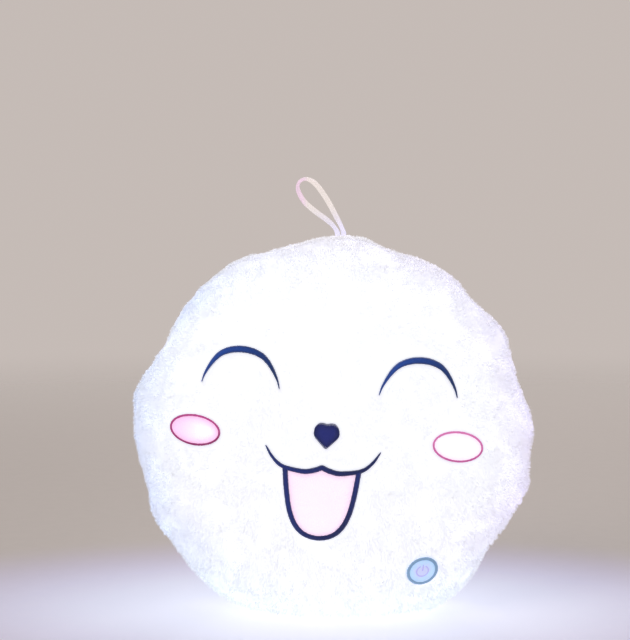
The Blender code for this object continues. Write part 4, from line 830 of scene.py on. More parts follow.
def sweepThreads(
    name, paths, normals, width, height, material, body, slot, sides=6, middles=None, taper=0.62
):
    # Closed threads with an oval section along many paths of the same number of points
    count, steps, _ = paths.shape
    direction = unit(np.gradient(paths, axis=1))
    across = unit(np.cross(direction, normals))
    upward = unit(np.cross(across, direction))
    ends = np.ones(steps)
    ends[0] = ends[-1] = taper
    width = np.broadcast_to(np.asarray(width, float), (count,))[:, None, None, None]
    height = np.broadcast_to(np.asarray(height, float), (count,))[:, None, None, None]
    # The section's corners lie half a side round, so that its top is flat
    angles = 2 * math.pi * (np.arange(sides) + 0.5) / sides
    ring = across[:, :, None, :] * np.cos(angles)[None, None, :, None] * width / 2
    ring = ring + upward[:, :, None, :] * np.sin(angles)[None, None, :, None] * height / 2
    verts = (paths[:, :, None, :] + ring * ends[None, :, None, None]).reshape(-1, 3)
    base = np.array(gridFaces(steps, sides, True))
    faces = (base[None] + (np.arange(count) * steps * sides)[:, None, None]).reshape(-1, 4).tolist()
    for thread in range(count):
        faces += endCaps(thread * steps * sides, steps, sides)
    piece = makePiece(name, verts, faces, material, body)
    # Red holds the painted highlight and painted glow towards the middle of a shape, green each thread's
    # random tone
    shades = np.repeat(chance.random(count), steps * sides)
    inner = np.ones_like(shades) if middles is None else np.repeat(middles.ravel(), sides)
    colours = np.stack([inner, shades, shades, np.ones_like(shades)], axis=-1)
    strand = piece.data.color_attributes.new("strand", "FLOAT_COLOR", "POINT")
    strand.data.foreach_set("color", colours.ravel())
    return piece


# Backing of the plush, front and back, lumpy under the pile
backing = {
    "rows": (110, 130),
    "columns": (300, 340),
    "thickness": 0.0010,
    "raise": 0.0038,
    "holeDepth": 0.0048,
    "slotDepth": 0.0072,
    "overTape": 0.0020,
    "nearStitches": (0.0006, 0.0060),
    "roundPatch": (-0.0012, 0.0008),
    "roundTape": 0.0060,
    "roundSlot": 0.0022,
    "lowestTurn": 0.012,
    "seamHalf": 0.0002,
    "lowest": 0.0006,
}
zipPlace = {
    "height": 0.112,
    "radius": 0.35304,
    "centreY": -0.27274,
    "half": 0.055,
    "rise": 0.0048,
    "tapeHalf": 0.062,
    "tapeEdge": 0.0123,
}


def zipAlong(places):
    # Distance along the zip's arc from its middle
    return np.arctan2(places[..., 0], places[..., 1] - zipPlace["centreY"]) * zipPlace["radius"]


def outsideBox(places, halfLength, halfRise):
    # How far each place of the back lies outside a box round the middle of the zip
    along = np.abs(zipAlong(places)) - halfLength
    rise = np.abs(places[..., 2] - zipPlace["height"]) - halfRise
    corner = np.hypot(np.maximum(along, 0.0), np.maximum(rise, 0.0))
    gap = np.where(np.maximum(along, rise) > 0, corner, np.maximum(along, rise))
    return np.where(places[..., 1] > 0, gap, 1.0)


def zipGap(places):
    return outsideBox(places, zipPlace["half"], zipPlace["rise"])


def onTape(places):
    # One over the tapes of the zip, falling to nothing round them
    gap = outsideBox(places, zipPlace["tapeHalf"], zipPlace["tapeEdge"])
    return 1 - smoothStep(0.0, backing["roundTape"], gap)


def patchDistance(places):
    flat = withoutPart(places - skinPoints(*press["at"], -1), np.array(press["axis"]))
    return np.where(places[..., 1] < 0, np.linalg.norm(flat, axis=-1), 1.0)


def lumpHeights(places):
    # The pile is fullest below, where the filling has settled
    low = (cushion["centreHeight"] - places[:, 2]) / halfWidth
    height = pile["lowFull"] * smoothStep(*pile["lowFrom"], low)
    for scale, size in pile["lumps"]:
        height += noiseField(places, scale) * size
    return height


def backingDepth(places):
    # How far below the skin the cloth lies: deep under the pile, shallow under the stitches
    near = 1 - smoothStep(*backing["nearStitches"], gapAt(places))
    depth = pile["depth"] - lumpHeights(places) * (1 - near)
    depth = depth - backing["raise"] * near
    inside, outside = backing["roundPatch"]
    away = patchDistance(places)
    hole = 1 - smoothStep(press["radius"] + inside, press["radius"] + outside, away)
    depth = depth + (backing["holeDepth"] - depth) * hole
    depth = depth + (backing["overTape"] - depth) * onTape(places)
    groove = 1 - smoothStep(0.0, backing["roundSlot"], zipGap(places))
    return depth + (backing["slotDepth"] - depth) * groove


def makeBacking(name, side, replaced):
    rows, columns = [backing[key][0 if side < 0 else 1] for key in ("rows", "columns")]
    turns = np.linspace(backing["lowestTurn"], math.pi / 2, rows)
    if side > 0:
        turns = math.pi - turns
    angles = np.linspace(0, 2 * math.pi, columns, endpoint=False)
    turn, angle = np.meshgrid(turns, angles, indexing="ij")
    places = cushionPoints(turn, angle)
    depth = backingDepth(places.reshape(-1, 3)).reshape(rows, columns)
    places = places - cushionNormals(turn, angle) * depth[..., None]
    # Both halves meet in the plane of the seam
    places[-1, :, 1] = side * backing["seamHalf"]
    places[..., 2] = np.maximum(places[..., 2], backing["lowest"])
    verts = list(places.reshape(-1, 3))
    faces = gridFaces(rows, columns, True)
    middle = len(verts)
    verts.append(places[0].mean(axis=0))
    faces += [(middle, (c + 1) % columns, c) for c in range(columns)]
    piece = makePiece(name, verts, faces, "plushBacking", "cushion")
    facesOutward(piece)
    solidify = piece.modifiers.new("cloth", "SOLIDIFY")
    solidify.thickness = backing["thickness"]
    solidify.offset = -1.0
    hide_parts(replaced)


makeBacking("plushFront", -1, "front_panel")
makeBacking("plushBack", 1, "back_panel")
print("plush backing made")


# Pile: tufts of tapered blades in even rows, kept off the stitched pieces, the patch and the zip
def tuftPlaces(side):
    fine = np.linspace(0.0, math.pi / 2, 400)
    lengths = distancesAlong(cushionPoints(fine, np.full_like(fine, 0.4)))
    spacing, slipping = pile["spacing"], pile["tuftSlip"]
    turns, angles = [], []
    for length in np.arange(spacing / 2, lengths[-1], spacing):
        turn = np.interp(length, lengths, fine)
        count = max(5, round(2 * math.pi * halfWidth * math.sin(turn) / spacing))
        shift = chance.uniform(0, 1) + chance.uniform(-slipping, slipping, count)
        angles.append((np.arange(count) + shift) * 2 * math.pi / count)
        slip = np.interp(length + chance.uniform(-slipping, slipping, count) * spacing, lengths, fine)
        turns.append(np.clip(slip, 0.01, math.pi / 2 - 0.004))
    turns, angles = np.concatenate(turns), np.concatenate(angles)
    return (math.pi - turns if side > 0 else turns), angles


def shortening(gap, which):
    least, rest, reach = pile["shortened"][which]
    return least + rest * smoothStep(*reach, gap)


def freePlaces(skin, facing, gap, slot):
    # Off the stitches, the patch, the slot, the foot that the cushion stands on and the loop's tack
    free, tack = pile["free"], pile["tack"]
    kept = gap > free["stitches"]
    kept &= patchDistance(skin) > press["radius"] + free["patch"]
    kept &= slot > free["slot"]
    kept &= ~((skin[:, 2] < free["foot"]) & (facing[:, 2] < -0.5))
    x, y = np.abs(skin[:, 0] - tack["x"]), np.abs(skin[:, 1])
    kept &= ~((x < tack["halfWidth"]) & (y < tack["halfDepth"]) & (skin[:, 2] > tack["above"]))
    return kept


def bladePlaces(turns, angles):
    middles = cushionPoints(turns, angles)
    normals = cushionNormals(turns, angles)
    count, blades = len(middles), pile["blades"]
    wide, narrow = [noiseVectors(middles, scale) for scale in pile["swirlScales"]]
    lean = (wide + narrow * 0.6) * pile["swirl"] + np.array((0.0, 0.0, -pile["down"]))
    lean = withoutPart(lean, normals)
    lift = lumpHeights(middles) - pile["depth"]
    lift = lift + (-backing["overTape"] - lift) * onTape(middles)
    tuftLength = pile["length"] * chance.uniform(0.85, 1.15, count)

    def eachBlade(values):
        return np.repeat(values, blades, axis=0)

    seat, facing = eachBlade(middles), eachBlade(normals)
    spread = chance.normal(0.0, pile["tuftSpread"], (count * blades, 3)) * pile["spacing"]
    skin = seat + withoutPart(spread, facing)
    roots = skin + facing * (eachBlade(lift) - pile["sink"])[:, None]
    leaning = eachBlade(lean) * pile["lean"]
    stray = chance.normal(0.0, pile["stray"], (count * blades, 3))
    ownWay = unit(facing + leaning + stray)
    sharedWay = unit(facing + leaning)
    gap, slot = gapAt(skin), zipGap(skin)
    length = eachBlade(tuftLength) * chance.uniform(0.82, 1.12, count * blades)
    length *= shortening(gap, "stitches")
    length *= shortening(slot, "slot")
    ownTip = roots + ownWay * length[:, None]
    sharedRoot = seat + facing * eachBlade(lift)[:, None]
    sharedTip = sharedRoot + sharedWay * (length * 1.04)[:, None]
    tips = ownTip + (sharedTip - ownTip) * pile["clump"]
    tufts = eachBlade(chance.random(count)) * 0.6 + chance.random(count * blades) * 0.4
    free = freePlaces(skin, facing, gap, slot)
    return roots[free], tips[free], facing[free], length[free], tufts[free]


def makePile(name, roots, tips, facing, length, tufts):
    # Each blade is a tapered strip whose flat side looks outwards
    along = tips - roots
    across = unit(np.cross(facing, along) + chance.normal(0.0, 1e-4, along.shape))
    flip = np.sum(np.cross(across, along) * facing, axis=1) < 0
    across[flip] *= -1
    half = (pile["width"] / 2 * (0.75 + 0.5 * tufts))[:, None]
    bend = (roots + tips) / 2 + facing * (length * pile["bow"])[:, None]
    corners = [
        roots - across * half,
        roots + across * half,
        bend - across * half * 0.8,
        bend + across * half * 0.8,
        tips,
    ]
    verts = np.stack(corners, axis=1)
    verts[..., 2] = np.maximum(verts[..., 2], pile["lowest"])
    count = len(roots)
    loops = (np.array([0, 1, 3, 2, 2, 3, 4])[None] + (np.arange(count) * 5)[:, None]).ravel()
    starts = (np.array([0, 4])[None] + (np.arange(count) * 7)[:, None]).ravel()
    mesh = bpy.data.meshes.new(name)
    mesh.vertices.add(count * 5)
    mesh.vertices.foreach_set("co", verts.astype(np.float32).ravel())
    mesh.loops.add(count * 7)
    mesh.loops.foreach_set("vertex_index", loops.astype(np.int32))
    mesh.polygons.add(count * 2)
    mesh.polygons.foreach_set("loop_start", starts.astype(np.int32))
    mesh.update(calc_edges=True)
    mesh.shade_smooth()
    shade = np.empty((count, 5, 4), np.float32)
    shade[..., 0] = np.array([0.0, 0.0, 0.55, 0.55, 1.0])
    shade[..., 1] = tufts[:, None]
    shade[..., 2] = 0.0
    shade[..., 3] = 1.0
    mesh.color_attributes.new("strand", "FLOAT_COLOR", "POINT").data.foreach_set("color", shade.ravel())
    # Rounded over each tuft, so that the pile shades as one soft coat
    soft = unit(facing[:, None, :] + 0.55 * unit(verts - roots[:, None, :] + facing[:, None, :] * 1e-4))
    mesh.normals_split_custom_set_from_vertices(soft.reshape(-1, 3).tolist())
    addPiece(name, mesh, "plushPile", "cushion")
    return count


def growPile():
    total = 0
    for side, label in ((-1, "Front"), (1, "Back")):
        turns, angles = tuftPlaces(side)
        blades = bladePlaces(turns, angles)
        height = blades[0][:, 2]
        for part, low, high in pile["parts"]:
            chosen = (height >= low) & (height < high)
            total += makePile(f"pile{label}{part}", *[values[chosen] for values in blades])
    print("pile grown:", total, "blades")


growPile()


# Stitched face, in its own frame: u to the right, v up, rolled a little with the cushion
face = {
    "at": (-0.0048, 0.1650),
    "roll": -3.5,
    "threadWidth": 0.00052,
    "threadHeight": 0.00045,
    "spacing": 0.00044,
    "rise": 0.0009,
    "seat": 0.0004,
    "slant": 0.35,
    "taperEnd": 0.14,
    "fullWidth": 0.0030,
    "fullLength": 0.012,
    "shortest": 0.0008,
}
eyes = {
    "u": 0.0735,
    "v": 0.0360,
    "width": 0.0650,
    "height": 0.0294,
    "halfShares": (
        (1.0, 0.0), (0.95, 0.19), (0.87, 0.375), (0.77, 0.56), (0.65, 0.73), (0.53, 0.845), (0.36, 0.935),
        (0.18, 0.985), (0.0, 1.0),
    ),
    "stroke": 0.0056,
    "taperPower": 1.1,
}
cheeks = {
    "u": 0.1094,
    "v": -0.0046,
    "halfWidth": 0.0218,
    "halfHeight": 0.0130,
    "stroke": 0.0017,
    "fillInset": 1.6,
    "fillAngle": 38.0,
    "fillStitch": 0.0062,
    # The right cheek takes the paler copies of the threads, painted light of the lamp shining through
    "sides": {"left": (-1, -2.0, "magentaThread"), "right": (1, -6.0, "roseThread")},
}
nose = {
    "halfWidth": 0.0106,
    "halfHeight": 0.0108,
    "fillAngle": 82.0,
    "domed": {"rise": 0.0012, "steps": 9, "reach": 0.006},
    "halfShares": (
        (0.0, 0.93), (0.30, 0.99), (0.62, 0.95), (0.91, 0.64), (1.0, 0.20), (0.92, -0.12), (0.62, -0.48),
        (0.29, -0.80), (0.0, -1.02),
    ),
}
mouth = {
    "u": -0.0020,
    "lipV": -0.0306,
    "lipHalfWidth": 0.0472,
    "lipHeight": 0.0193,
    "lipHalfShares": (
        (0.0, 0.21), (0.05, 0.16), (0.15, 0.07), (0.33, 0.0), (0.68, 0.155), (0.87, 0.52), (1.0, 1.0),
    ),
    "lipStroke": 0.0046,
    "lipTaperPower": 0.6,
    "jawHalfWidth": 0.0303,
    "jawDrop": 0.0584,
    "jawAboveLip": 0.0018,
    "jawHalfShares": ((1.0, 0.0), (0.93, -0.31), (0.83, -0.585), (0.665, -0.80), (0.40, -0.945), (0.0, -1.0)),
    "jawStroke": 0.0044,
    "tongueStitch": 0.0070,
}


def facePlaces(points):
    roll = math.radians(face["roll"])
    u, v = points[..., 0], points[..., 1]
    x = face["at"][0] + u * math.cos(roll) - v * math.sin(roll)
    z = face["at"][1] + u * math.sin(roll) + v * math.cos(roll)
    return x, z


def smoothPath(points, steps):
    points = np.asarray(points, float)
    padded = np.vstack([points[0] * 2 - points[1], points, points[-1] * 2 - points[-2]])
    path = []
    for a, b, c, d in zip(padded, padded[1:], padded[2:], padded[3:]):
        for step in range(steps):
            t = step / steps
            bend = (a * 2 - b * 5 + c * 4 - d) * t * t + (b * 3 - a - c * 3 + d) * t**3
            path.append((b * 2 + (c - a) * t + bend) / 2)
    path.append(points[-1])
    return np.array(path)


def mirroredPath(shares, width, height, base):
    right = np.array([(u * width, base + v * height) for u, v in shares])
    left = right * (-1, 1)
    if right[0][0] == 0:
        return np.vstack([left[:0:-1], right])
    return np.vstack([left, right[-2::-1]])


def evenPath(path, spacing, closed=False):
    if closed:
        path = np.vstack([path, path[:1]])
    lengths = distancesAlong(path)
    count = max(2, round(lengths[-1] / spacing))
    wanted = np.linspace(0.0, lengths[-1], count + 1)[: count if closed else count + 1]
    return np.stack([np.interp(wanted, lengths, path[:, i]) for i in range(path.shape[1])], axis=-1)


def oval(u, v, halfWidth, halfHeight, roll, steps=72):
    angle = allRound(steps)
    across, up = halfWidth * np.cos(angle), halfHeight * np.sin(angle)
    turn = math.radians(roll)
    x = u + across * math.cos(turn) - up * math.sin(turn)
    y = v + across * math.sin(turn) + up * math.cos(turn)
    return np.stack([x, y], -1)


def layStitches(name, flat, lift, middles, thread, slot, replaced):
    places, normals = onSkin(*facePlaces(flat), -1, lift)
    size = face["threadWidth"], face["threadHeight"]
    piece = sweepThreads(name, places, normals, *size, thread, "cushion", slot, middles=middles)
    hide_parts(replaced)


def stitchStroke(name, path, width, taperPower, thread, slot, replaced, closed=False, steps=6):
    # Satin stitches side by side across a line
    path = evenPath(path, face["spacing"], closed)
    if closed:
        tangent = unit(np.roll(path, -1, axis=0) - np.roll(path, 1, axis=0))
    else:
        tangent = unit(np.gradient(path, axis=0))
    normal = np.stack([-tangent[:, 1], tangent[:, 0]], axis=-1)
    share = np.ones(len(path))
    if taperPower:
        swell = np.sin(math.pi * np.arange(len(path)) / (len(path) - 1))
        share = face["taperEnd"] + (1 - face["taperEnd"]) * np.maximum(swell, 0.0) ** taperPower
    half = (width * share / 2 + chance.uniform(-0.00012, 0.00016, len(path)))[:, None]
    reach = (normal + tangent * face["slant"]) * half
    edges = path - reach, path + reach
    # More stitches where a bend spreads their ends
    gaps = [np.linalg.norm(np.diff(edge, axis=0), axis=1) for edge in edges]
    parts = np.maximum(1, np.round(np.maximum(*gaps) / face["spacing"]))
    known = np.concatenate([[0.0], np.cumsum(parts)])
    every = np.arange(int(known[-1]) + 1)
    first, last = [np.stack([np.interp(every, known, edge[:, i]) for i in (0, 1)], -1) for edge in edges]
    share = np.interp(every, known, share)
    t = np.linspace(0.0, 1.0, steps)
    crown = crownOf(t)
    full = np.minimum(1.0, share * width / face["fullWidth"])
    lift = face["seat"] + face["rise"] * crown[None, :] * full[:, None]
    # Bright where the stitches turn towards the light, dark along both edges of the line
    drift = 0.55 + 0.45 * np.sin(every * 0.021 + 0.4)
    middles = np.broadcast_to(crown**1.5, (len(every), steps)) * drift[:, None]
    layStitches(name, between(first, last, t), lift, middles, thread, slot, replaced)


def insideRuns(outline, level):
    # Where a level line crosses a closed outline, as pairs
    following = np.roll(outline, -1, axis=0)
    cross = (outline[:, 1] > level) != (following[:, 1] > level)
    share = (level - outline[cross, 1]) / (following[cross, 1] - outline[cross, 1])
    hits = np.sort(outline[cross, 0] + (following[cross, 0] - outline[cross, 0]) * share)
    return [(hits[i], hits[i + 1]) for i in range(0, len(hits) - 1, 2)]


def edgeShares(points, outline, reach):
    away = np.linalg.norm(points[..., None, :] - outline, axis=-1).min(axis=-1)
    return smoothStep(0.0, reach, away)


def stitchFill(name, outline, angle, stitch, thread, slot, replaced, rise=0.0003, steps=5, reach=0.008):
    # Rows of stitches in a staggered brick pattern, as in filled embroidery
    turn = math.radians(angle)
    spin = np.array(((math.cos(turn), math.sin(turn)), (-math.sin(turn), math.cos(turn))))
    turned = outline @ spin.T
    threads = []
    shortest = face["shortest"]
    levels = np.arange(turned[:, 1].min() + face["spacing"] / 2, turned[:, 1].max(), face["spacing"])
    for row, level in enumerate(levels):
        for low, high in insideRuns(turned, level):
            cuts = [low]
            if stitch:
                start = math.floor(low / stitch) * stitch + (row * 5 % 8) / 8 * stitch
                every = np.arange(start, high, stitch)
                cuts += [cut for cut in every if low + shortest < cut < high - shortest]
            cuts.append(high)
            threads += [((a, level), (b, level)) for a, b in zip(cuts, cuts[1:])]
    ends = np.array(threads) @ spin
    t = np.linspace(0.0, 1.0, steps)
    flat = between(ends[:, 0], ends[:, 1], t)
    length = np.linalg.norm(ends[:, 1] - ends[:, 0], axis=1)
    full = np.minimum(1.0, length / (stitch or face["fullLength"]))
    lift = face["seat"] * 0.4 + rise * crownOf(t, 3)[None, :] * full[:, None]
    # Pale towards the middle, and on the left cheek also to the right, where the lamp shines through more
    middles = edgeShares(flat, outline, reach)
    if name == "leftCheekFill":
        across = (flat[..., 0] - outline[:, 0].min()) / np.ptp(outline[:, 0])
        middles = middles * (0.25 + 0.75 * smoothStep(0.05, 0.75, across))
    layStitches(name, flat, lift, middles, thread, slot, replaced)


def stitchFace():
    arc = smoothPath(mirroredPath(eyes["halfShares"], eyes["width"] / 2, eyes["height"], eyes["v"]), 8)
    for name, side in (("left", -1), ("right", 1)):
        path = arc + (side * eyes["u"], 0.0)
        strokeSize = eyes["stroke"], eyes["taperPower"]
        stitchStroke(name + "Eye", path, *strokeSize, "eyeThread", "navy_thread", name + "_eye")
    inset = cheeks["stroke"] / 2
    for name, (side, roll, edgeThread) in cheeks["sides"].items():

        def cheekOval(share):
            size = cheeks["halfWidth"] - inset * share, cheeks["halfHeight"] - inset * share
            return oval(side * cheeks["u"], cheeks["v"], *size, roll)

        fill = cheekOval(cheeks["fillInset"]), cheeks["fillAngle"], cheeks["fillStitch"], name + "CheekThread"
        stitchFill(name + "CheekFill", *fill, "pink_thread", name + "_cheek_fill")
        stroke = cheekOval(1.0), cheeks["stroke"], 0.0, edgeThread
        stitchStroke(name + "CheekEdge", *stroke, "magenta_thread", name + "_cheek_edge", True)
    half = mirroredPath(nose["halfShares"][::-1], nose["halfWidth"], nose["halfHeight"], 0.0)
    heart = smoothPath(half[:-1], 6)
    fill = heart, nose["fillAngle"], 0.0, "noseThread"
    stitchFill("noseHeart", *fill, "nose_thread", "nose", **nose["domed"])

    lip = mirroredPath(mouth["lipHalfShares"], mouth["lipHalfWidth"], mouth["lipHeight"], mouth["lipV"])
    lip = smoothPath(lip, 10) + (mouth["u"], 0.0)
    jawTop = mouth["lipV"] + mouth["jawAboveLip"]
    jaw = mirroredPath(mouth["jawHalfShares"], mouth["jawHalfWidth"], mouth["jawDrop"], jawTop)
    jaw = smoothPath(jaw, 10) + (mouth["u"], 0.0)
    upper = lip[(lip[:, 0] > jaw[0, 0]) & (lip[:, 0] < jaw[-1, 0])]
    tongue = np.vstack([jaw, upper[::-1]])
    fill = tongue, 0.0, mouth["tongueStitch"], "tongueThread"
    stitchFill("tongueFill", *fill, "pink_thread", "tongue")
    stitchStroke("jawLine", jaw, mouth["jawStroke"], 0.0, "lipThread", "navy_thread", "jaw_line")
    strokeSize = mouth["lipStroke"], mouth["lipTaperPower"]
    stitchStroke("lipLine", lip, *strokeSize, "lipThread", "navy_thread", "lip_line")


stitchFace()
print("face stitched")


# Press patch: woven disc with a stitched on and off mark, and its overlocked border
patch = {
    "clear": 0.0003,
    "rings": 44,
    "segments": 160,
    "weave": 0.0009,
    "weaveHeight": 0.00022,
    "dome": 0.0007,
    "lift": 0.0003,
    "foot": -0.0009,
}
patchRadius = press["radius"] - press["border"] - patch["clear"]
mark = {"radius": 0.0052, "gap": 52.0, "bar": 0.0056, "thread": 0.0010, "rise": 0.00025}
border = {
    "threads": 150,
    "steps": 8,
    "inside": 0.0004,
    "outside": 0.0003,
    "slant": 0.06,
    "seat": (0.0009, 0.0005),
    "rise": 0.0011,
    "size": (0.00062, 0.0005),
}
pressMiddle = skinPoints(*press["at"], -1)
pressAxis = np.array(press["axis"])
pressAcross = unit(np.cross((0.0, 0.0, 1.0), pressAxis))
pressUp = np.cross(pressAxis, pressAcross)


def onPatch(across, up, lift):
    flat = np.asarray(across)[..., None] * pressAcross + np.asarray(up)[..., None] * pressUp
    return pressMiddle + flat + np.asarray(lift)[..., None] * pressAxis


def patchLift(across, up):
    return patch["lift"] + patch["dome"] * (1 - (across**2 + up**2) / patchRadius**2)


def makePatch():
    segments = patch["segments"]
    ring = np.linspace(0.02, 1.0, patch["rings"]) * patchRadius
    r, a = np.meshgrid(ring, allRound(segments), indexing="ij")
    across, up = r * np.cos(a), r * np.sin(a)
    turns = math.pi / patch["weave"]
    woven = np.sin(across * turns) * np.sin(up * turns)
    top = onPatch(across, up, patchLift(across, up) + patch["weaveHeight"] * woven)
    edge = onPatch(across[-1:], up[-1:], patch["foot"])
    foot = onPatch(across[-1:] * 0.5, up[-1:] * 0.5, patch["foot"])
    verts = list(np.vstack([top, edge, foot]).reshape(-1, 3))
    faces = gridFaces(patch["rings"] + 2, segments, True)
    middle = len(verts)
    verts.append(onPatch(0.0, 0.0, patchLift(0.0, 0.0)))
    faces += [(middle, (c + 1) % segments, c) for c in range(segments)]
    faces.append(list(range(middle - segments, middle)))
    piece = makePiece("switchPatch", verts, faces, "patchCloth", "switch_button")
    facesOutward(piece)
    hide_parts("switch_patch")


def makeMark():
    # A ring open at the top, and a bar in the opening
    opening = math.radians(mark["gap"] / 2)
    angle = np.linspace(math.pi / 2 + opening, math.pi * 2.5 - opening, 60)
    ring = np.stack([np.cos(angle), np.sin(angle)], -1) * mark["radius"]
    foot = mark["radius"] * 0.15
    bar = np.stack([np.zeros(12), np.linspace(foot, foot + mark["bar"], 12)], -1)
    starts, ends = [], []
    for line in (evenPath(ring, 0.0005), evenPath(bar, 0.0005)):
        tangent = unit(np.gradient(line, axis=0))
        side = np.stack([-tangent[:, 1], tangent[:, 0]], -1) * mark["thread"] / 2
        starts.append(line - side)
        ends.append(line + side)
    t = np.linspace(0.0, 1.0, 5)
    flat = between(np.vstack(starts), np.vstack(ends), t)
    lift = patchLift(flat[..., 0], flat[..., 1]) + mark["rise"] + np.sin(math.pi * t) * mark["rise"]
    places = onPatch(flat[..., 0], flat[..., 1], lift)
    normals = np.broadcast_to(pressAxis, places.shape)
    look = "markThread", "switch_button", "patch_felt"
    sweepThreads("switchMark", places, normals, 0.00055, 0.0003, *look)


def makePatchBorder():
    count = border["threads"]
    inner = press["radius"] - press["border"] - border["inside"]
    outer = press["radius"] + border["outside"]
    t = np.linspace(0.0, 1.0, border["steps"])
    reach = inner + (outer - inner) * t
    radius = reach[None, :] + chance.uniform(-0.0001, 0.0002, (count, 1)) * t[None, :]
    turn = allRound(count)[:, None] + border["slant"] * t[None, :]
    level = onPatch(radius * np.cos(turn), radius * np.sin(turn), 0.0)
    seat, fall = border["seat"]
    lift = seat - fall * t + border["rise"] * crownOf(t)
    places, normals = onSkin(level[..., 0], level[..., 2], -1, lift)
    look = "patchThread", "cushion", "patch_thread"
    piece = sweepThreads("patchBorder", places, normals, *border["size"], *look)
    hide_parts("switch_patch_edge")


makePatch()
makeMark()
makePatchBorder()
print("press patch made")


# Hanging loop: a twisted satin band with ribbed edges, and the tack that holds its ends
loop = {
    "rootX": 0.0072,
    "height": 0.0491,
    "rootSpacing": 0.0052,
    "width": 0.0046,
    "thickness": 0.00055,
    "shares": (
        (0.041, 0.083), (-0.006, 0.197), (-0.075, 0.328), (-0.214, 0.589), (-0.338, 0.780), (-0.446, 0.913),
        (-0.544, 0.983), (-0.639, 1.0), (-0.722, 0.959), (-0.759, 0.878), (-0.743, 0.770), (-0.654, 0.616),
        (-0.544, 0.506), (-0.405, 0.396), (-0.270, 0.301), (-0.145, 0.191), (-0.071, 0.083),
    ),
    "turns": (8, 50, 16, 4, 30, 62, 60, 34, 6, 16, 50, 8),
    "sections": 12,
    "across": 11,
    "edgeShare": 0.45,
    "cup": 0.00035,
    "eased": 13,
}
tack = {
    "threads": 34,
    "steps": 7,
    "inset": 0.0004,
    "overhang": 1.35,
    "below": 0.0002,
    "drop": 0.0016,
    "slant": 0.0003,
    "size": (0.0004, 0.00035),
}


def makeLoop():
    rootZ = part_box("hanging_loop")[0].z
    course = [(x * loop["height"], z * loop["height"]) for x, z in loop["shares"]]
    ends = [(side * loop["rootSpacing"] / 2, 0.0) for side in (1, -1)]
    flat = smoothPath([ends[0], *course, ends[1]], loop["sections"])
    path = np.stack([flat[:, 0] + loop["rootX"], np.zeros(len(flat)), flat[:, 1] + rootZ], -1)
    direction = unit(np.gradient(path, axis=0))
    share = np.linspace(0, len(loop["turns"]) - 1, len(path))
    turn = np.radians(np.interp(share, range(len(loop["turns"])), loop["turns"]))
    eased = loop["eased"]
    turn = np.convolve(np.pad(turn, eased // 2, mode="edge"), np.ones(eased) / eased, mode="valid")
    sideways = np.stack([-direction[:, 2], np.zeros(len(path)), direction[:, 0]], -1)
    across = sideways * np.cos(turn)[:, None] + np.array((0.0, 1.0, 0.0)) * np.sin(turn)[:, None]
    through = np.cross(across, direction)
    t = np.linspace(-1.0, 1.0, loop["across"])
    # Thicker woven edges on both sides, and a slight cup across the band
    thick = loop["thickness"] / 2 * (1 - loop["edgeShare"] + loop["edgeShare"] * np.abs(t) ** 6)
    cup = loop["cup"] * (1 - t**2)
    upper = np.stack([t * loop["width"] / 2, cup + thick], -1)
    lower = np.stack([t * loop["width"] / 2, cup - thick], -1)[::-1]
    section = np.vstack([upper, lower])
    verts = path[:, None, :] + across[:, None, :] * section[None, :, 0:1]
    verts = verts + through[:, None, :] * section[None, :, 1:2]
    verts[..., 2] = np.maximum(verts[..., 2], rootZ)
    grid = len(path), len(section)
    faces = gridFaces(*grid, True) + endCaps(0, *grid)
    piece = makePiece("satinLoop", verts.reshape(-1, 3), faces, "satinBand", "loop")
    facesOutward(piece, 50)
    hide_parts("hanging_loop")


def makeTack():
    low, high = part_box("loop_tack")
    count, steps = tack["threads"], tack["steps"]
    x = np.linspace(low.x + tack["inset"], high.x - tack["inset"], count)
    t = np.linspace(0.0, 1.0, steps)
    y = (t - 0.5) * (high.y - low.y) * tack["overhang"]
    z = high.z - tack["below"] - tack["drop"] * (2 * t - 1) ** 4
    slants = tack["slant"] * (2 * t - 1)[None, :] * np.where(np.arange(count) % 2, 1, -1)[:, None]
    uneven = chance.uniform(-0.0001, 0.0001, (count, 1))
    places = np.stack(np.broadcast_arrays(x[:, None] + slants, y, z[None, :] + uneven), -1)
    normals = np.broadcast_to(np.array((0.0, 0.0, 1.0)), places.shape)
    look = "tackThread", "cushion", "satin_band"
    piece = sweepThreads("tackStitches", places, normals, *tack["size"], *look)
    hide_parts("loop_tack")


makeLoop()
makeTack()
print("hanging loop made")


# Zip: woven tapes with a corded edge, teeth that clasp the cord, and the rolled hem of the slot
zipTeeth = {
    "count": 33,
    "pitch": 0.0030,
    "first": -0.0495,
    "middle": -0.0032,
    "outline": (
        (0.00078, 0.0027), (0.00086, 0.0024), (0.00086, 0.0014), (0.00050, 0.0010), (0.00044, 0.0005),
        (0.00062, 0.0001), (0.00064, -0.0004), (0.00040, -0.0008), (0.0, -0.00095),
    ),
    "rings": (
        (0.0008, 0.55, -0.00012), (0.0008, 0.80, 0.0), (0.00062, 1.0, 0.0), (-0.00062, 1.0, 0.0),
        (-0.0008, 0.80, 0.0),
    ),
}
zipTape = {
    "inner": -0.0051,
    "outer": -0.0043,
    "near": 0.0003,
    "cordAt": 0.0019,
    "cordRise": 0.0006,
    "ribs": 0.00007,
    "ribPitch": 0.0009,
    "cordWidth": 0.0005,
    "ribsFrom": 0.003,
    "steps": 150,
    "across": 20,
}
zipHem = {
    "width": 0.0030,
    "height": 0.0022,
    "depth": 0.0021,
    "out": 0.0013,
    "corner": 0.0030,
    "sections": 0.0016,
    "stitch": 0.0027,
    "gap": 0.0012,
    "proud": 0.0003,
    "sunk": 0.0007,
    "thread": (0.0006, 0.0005),
}


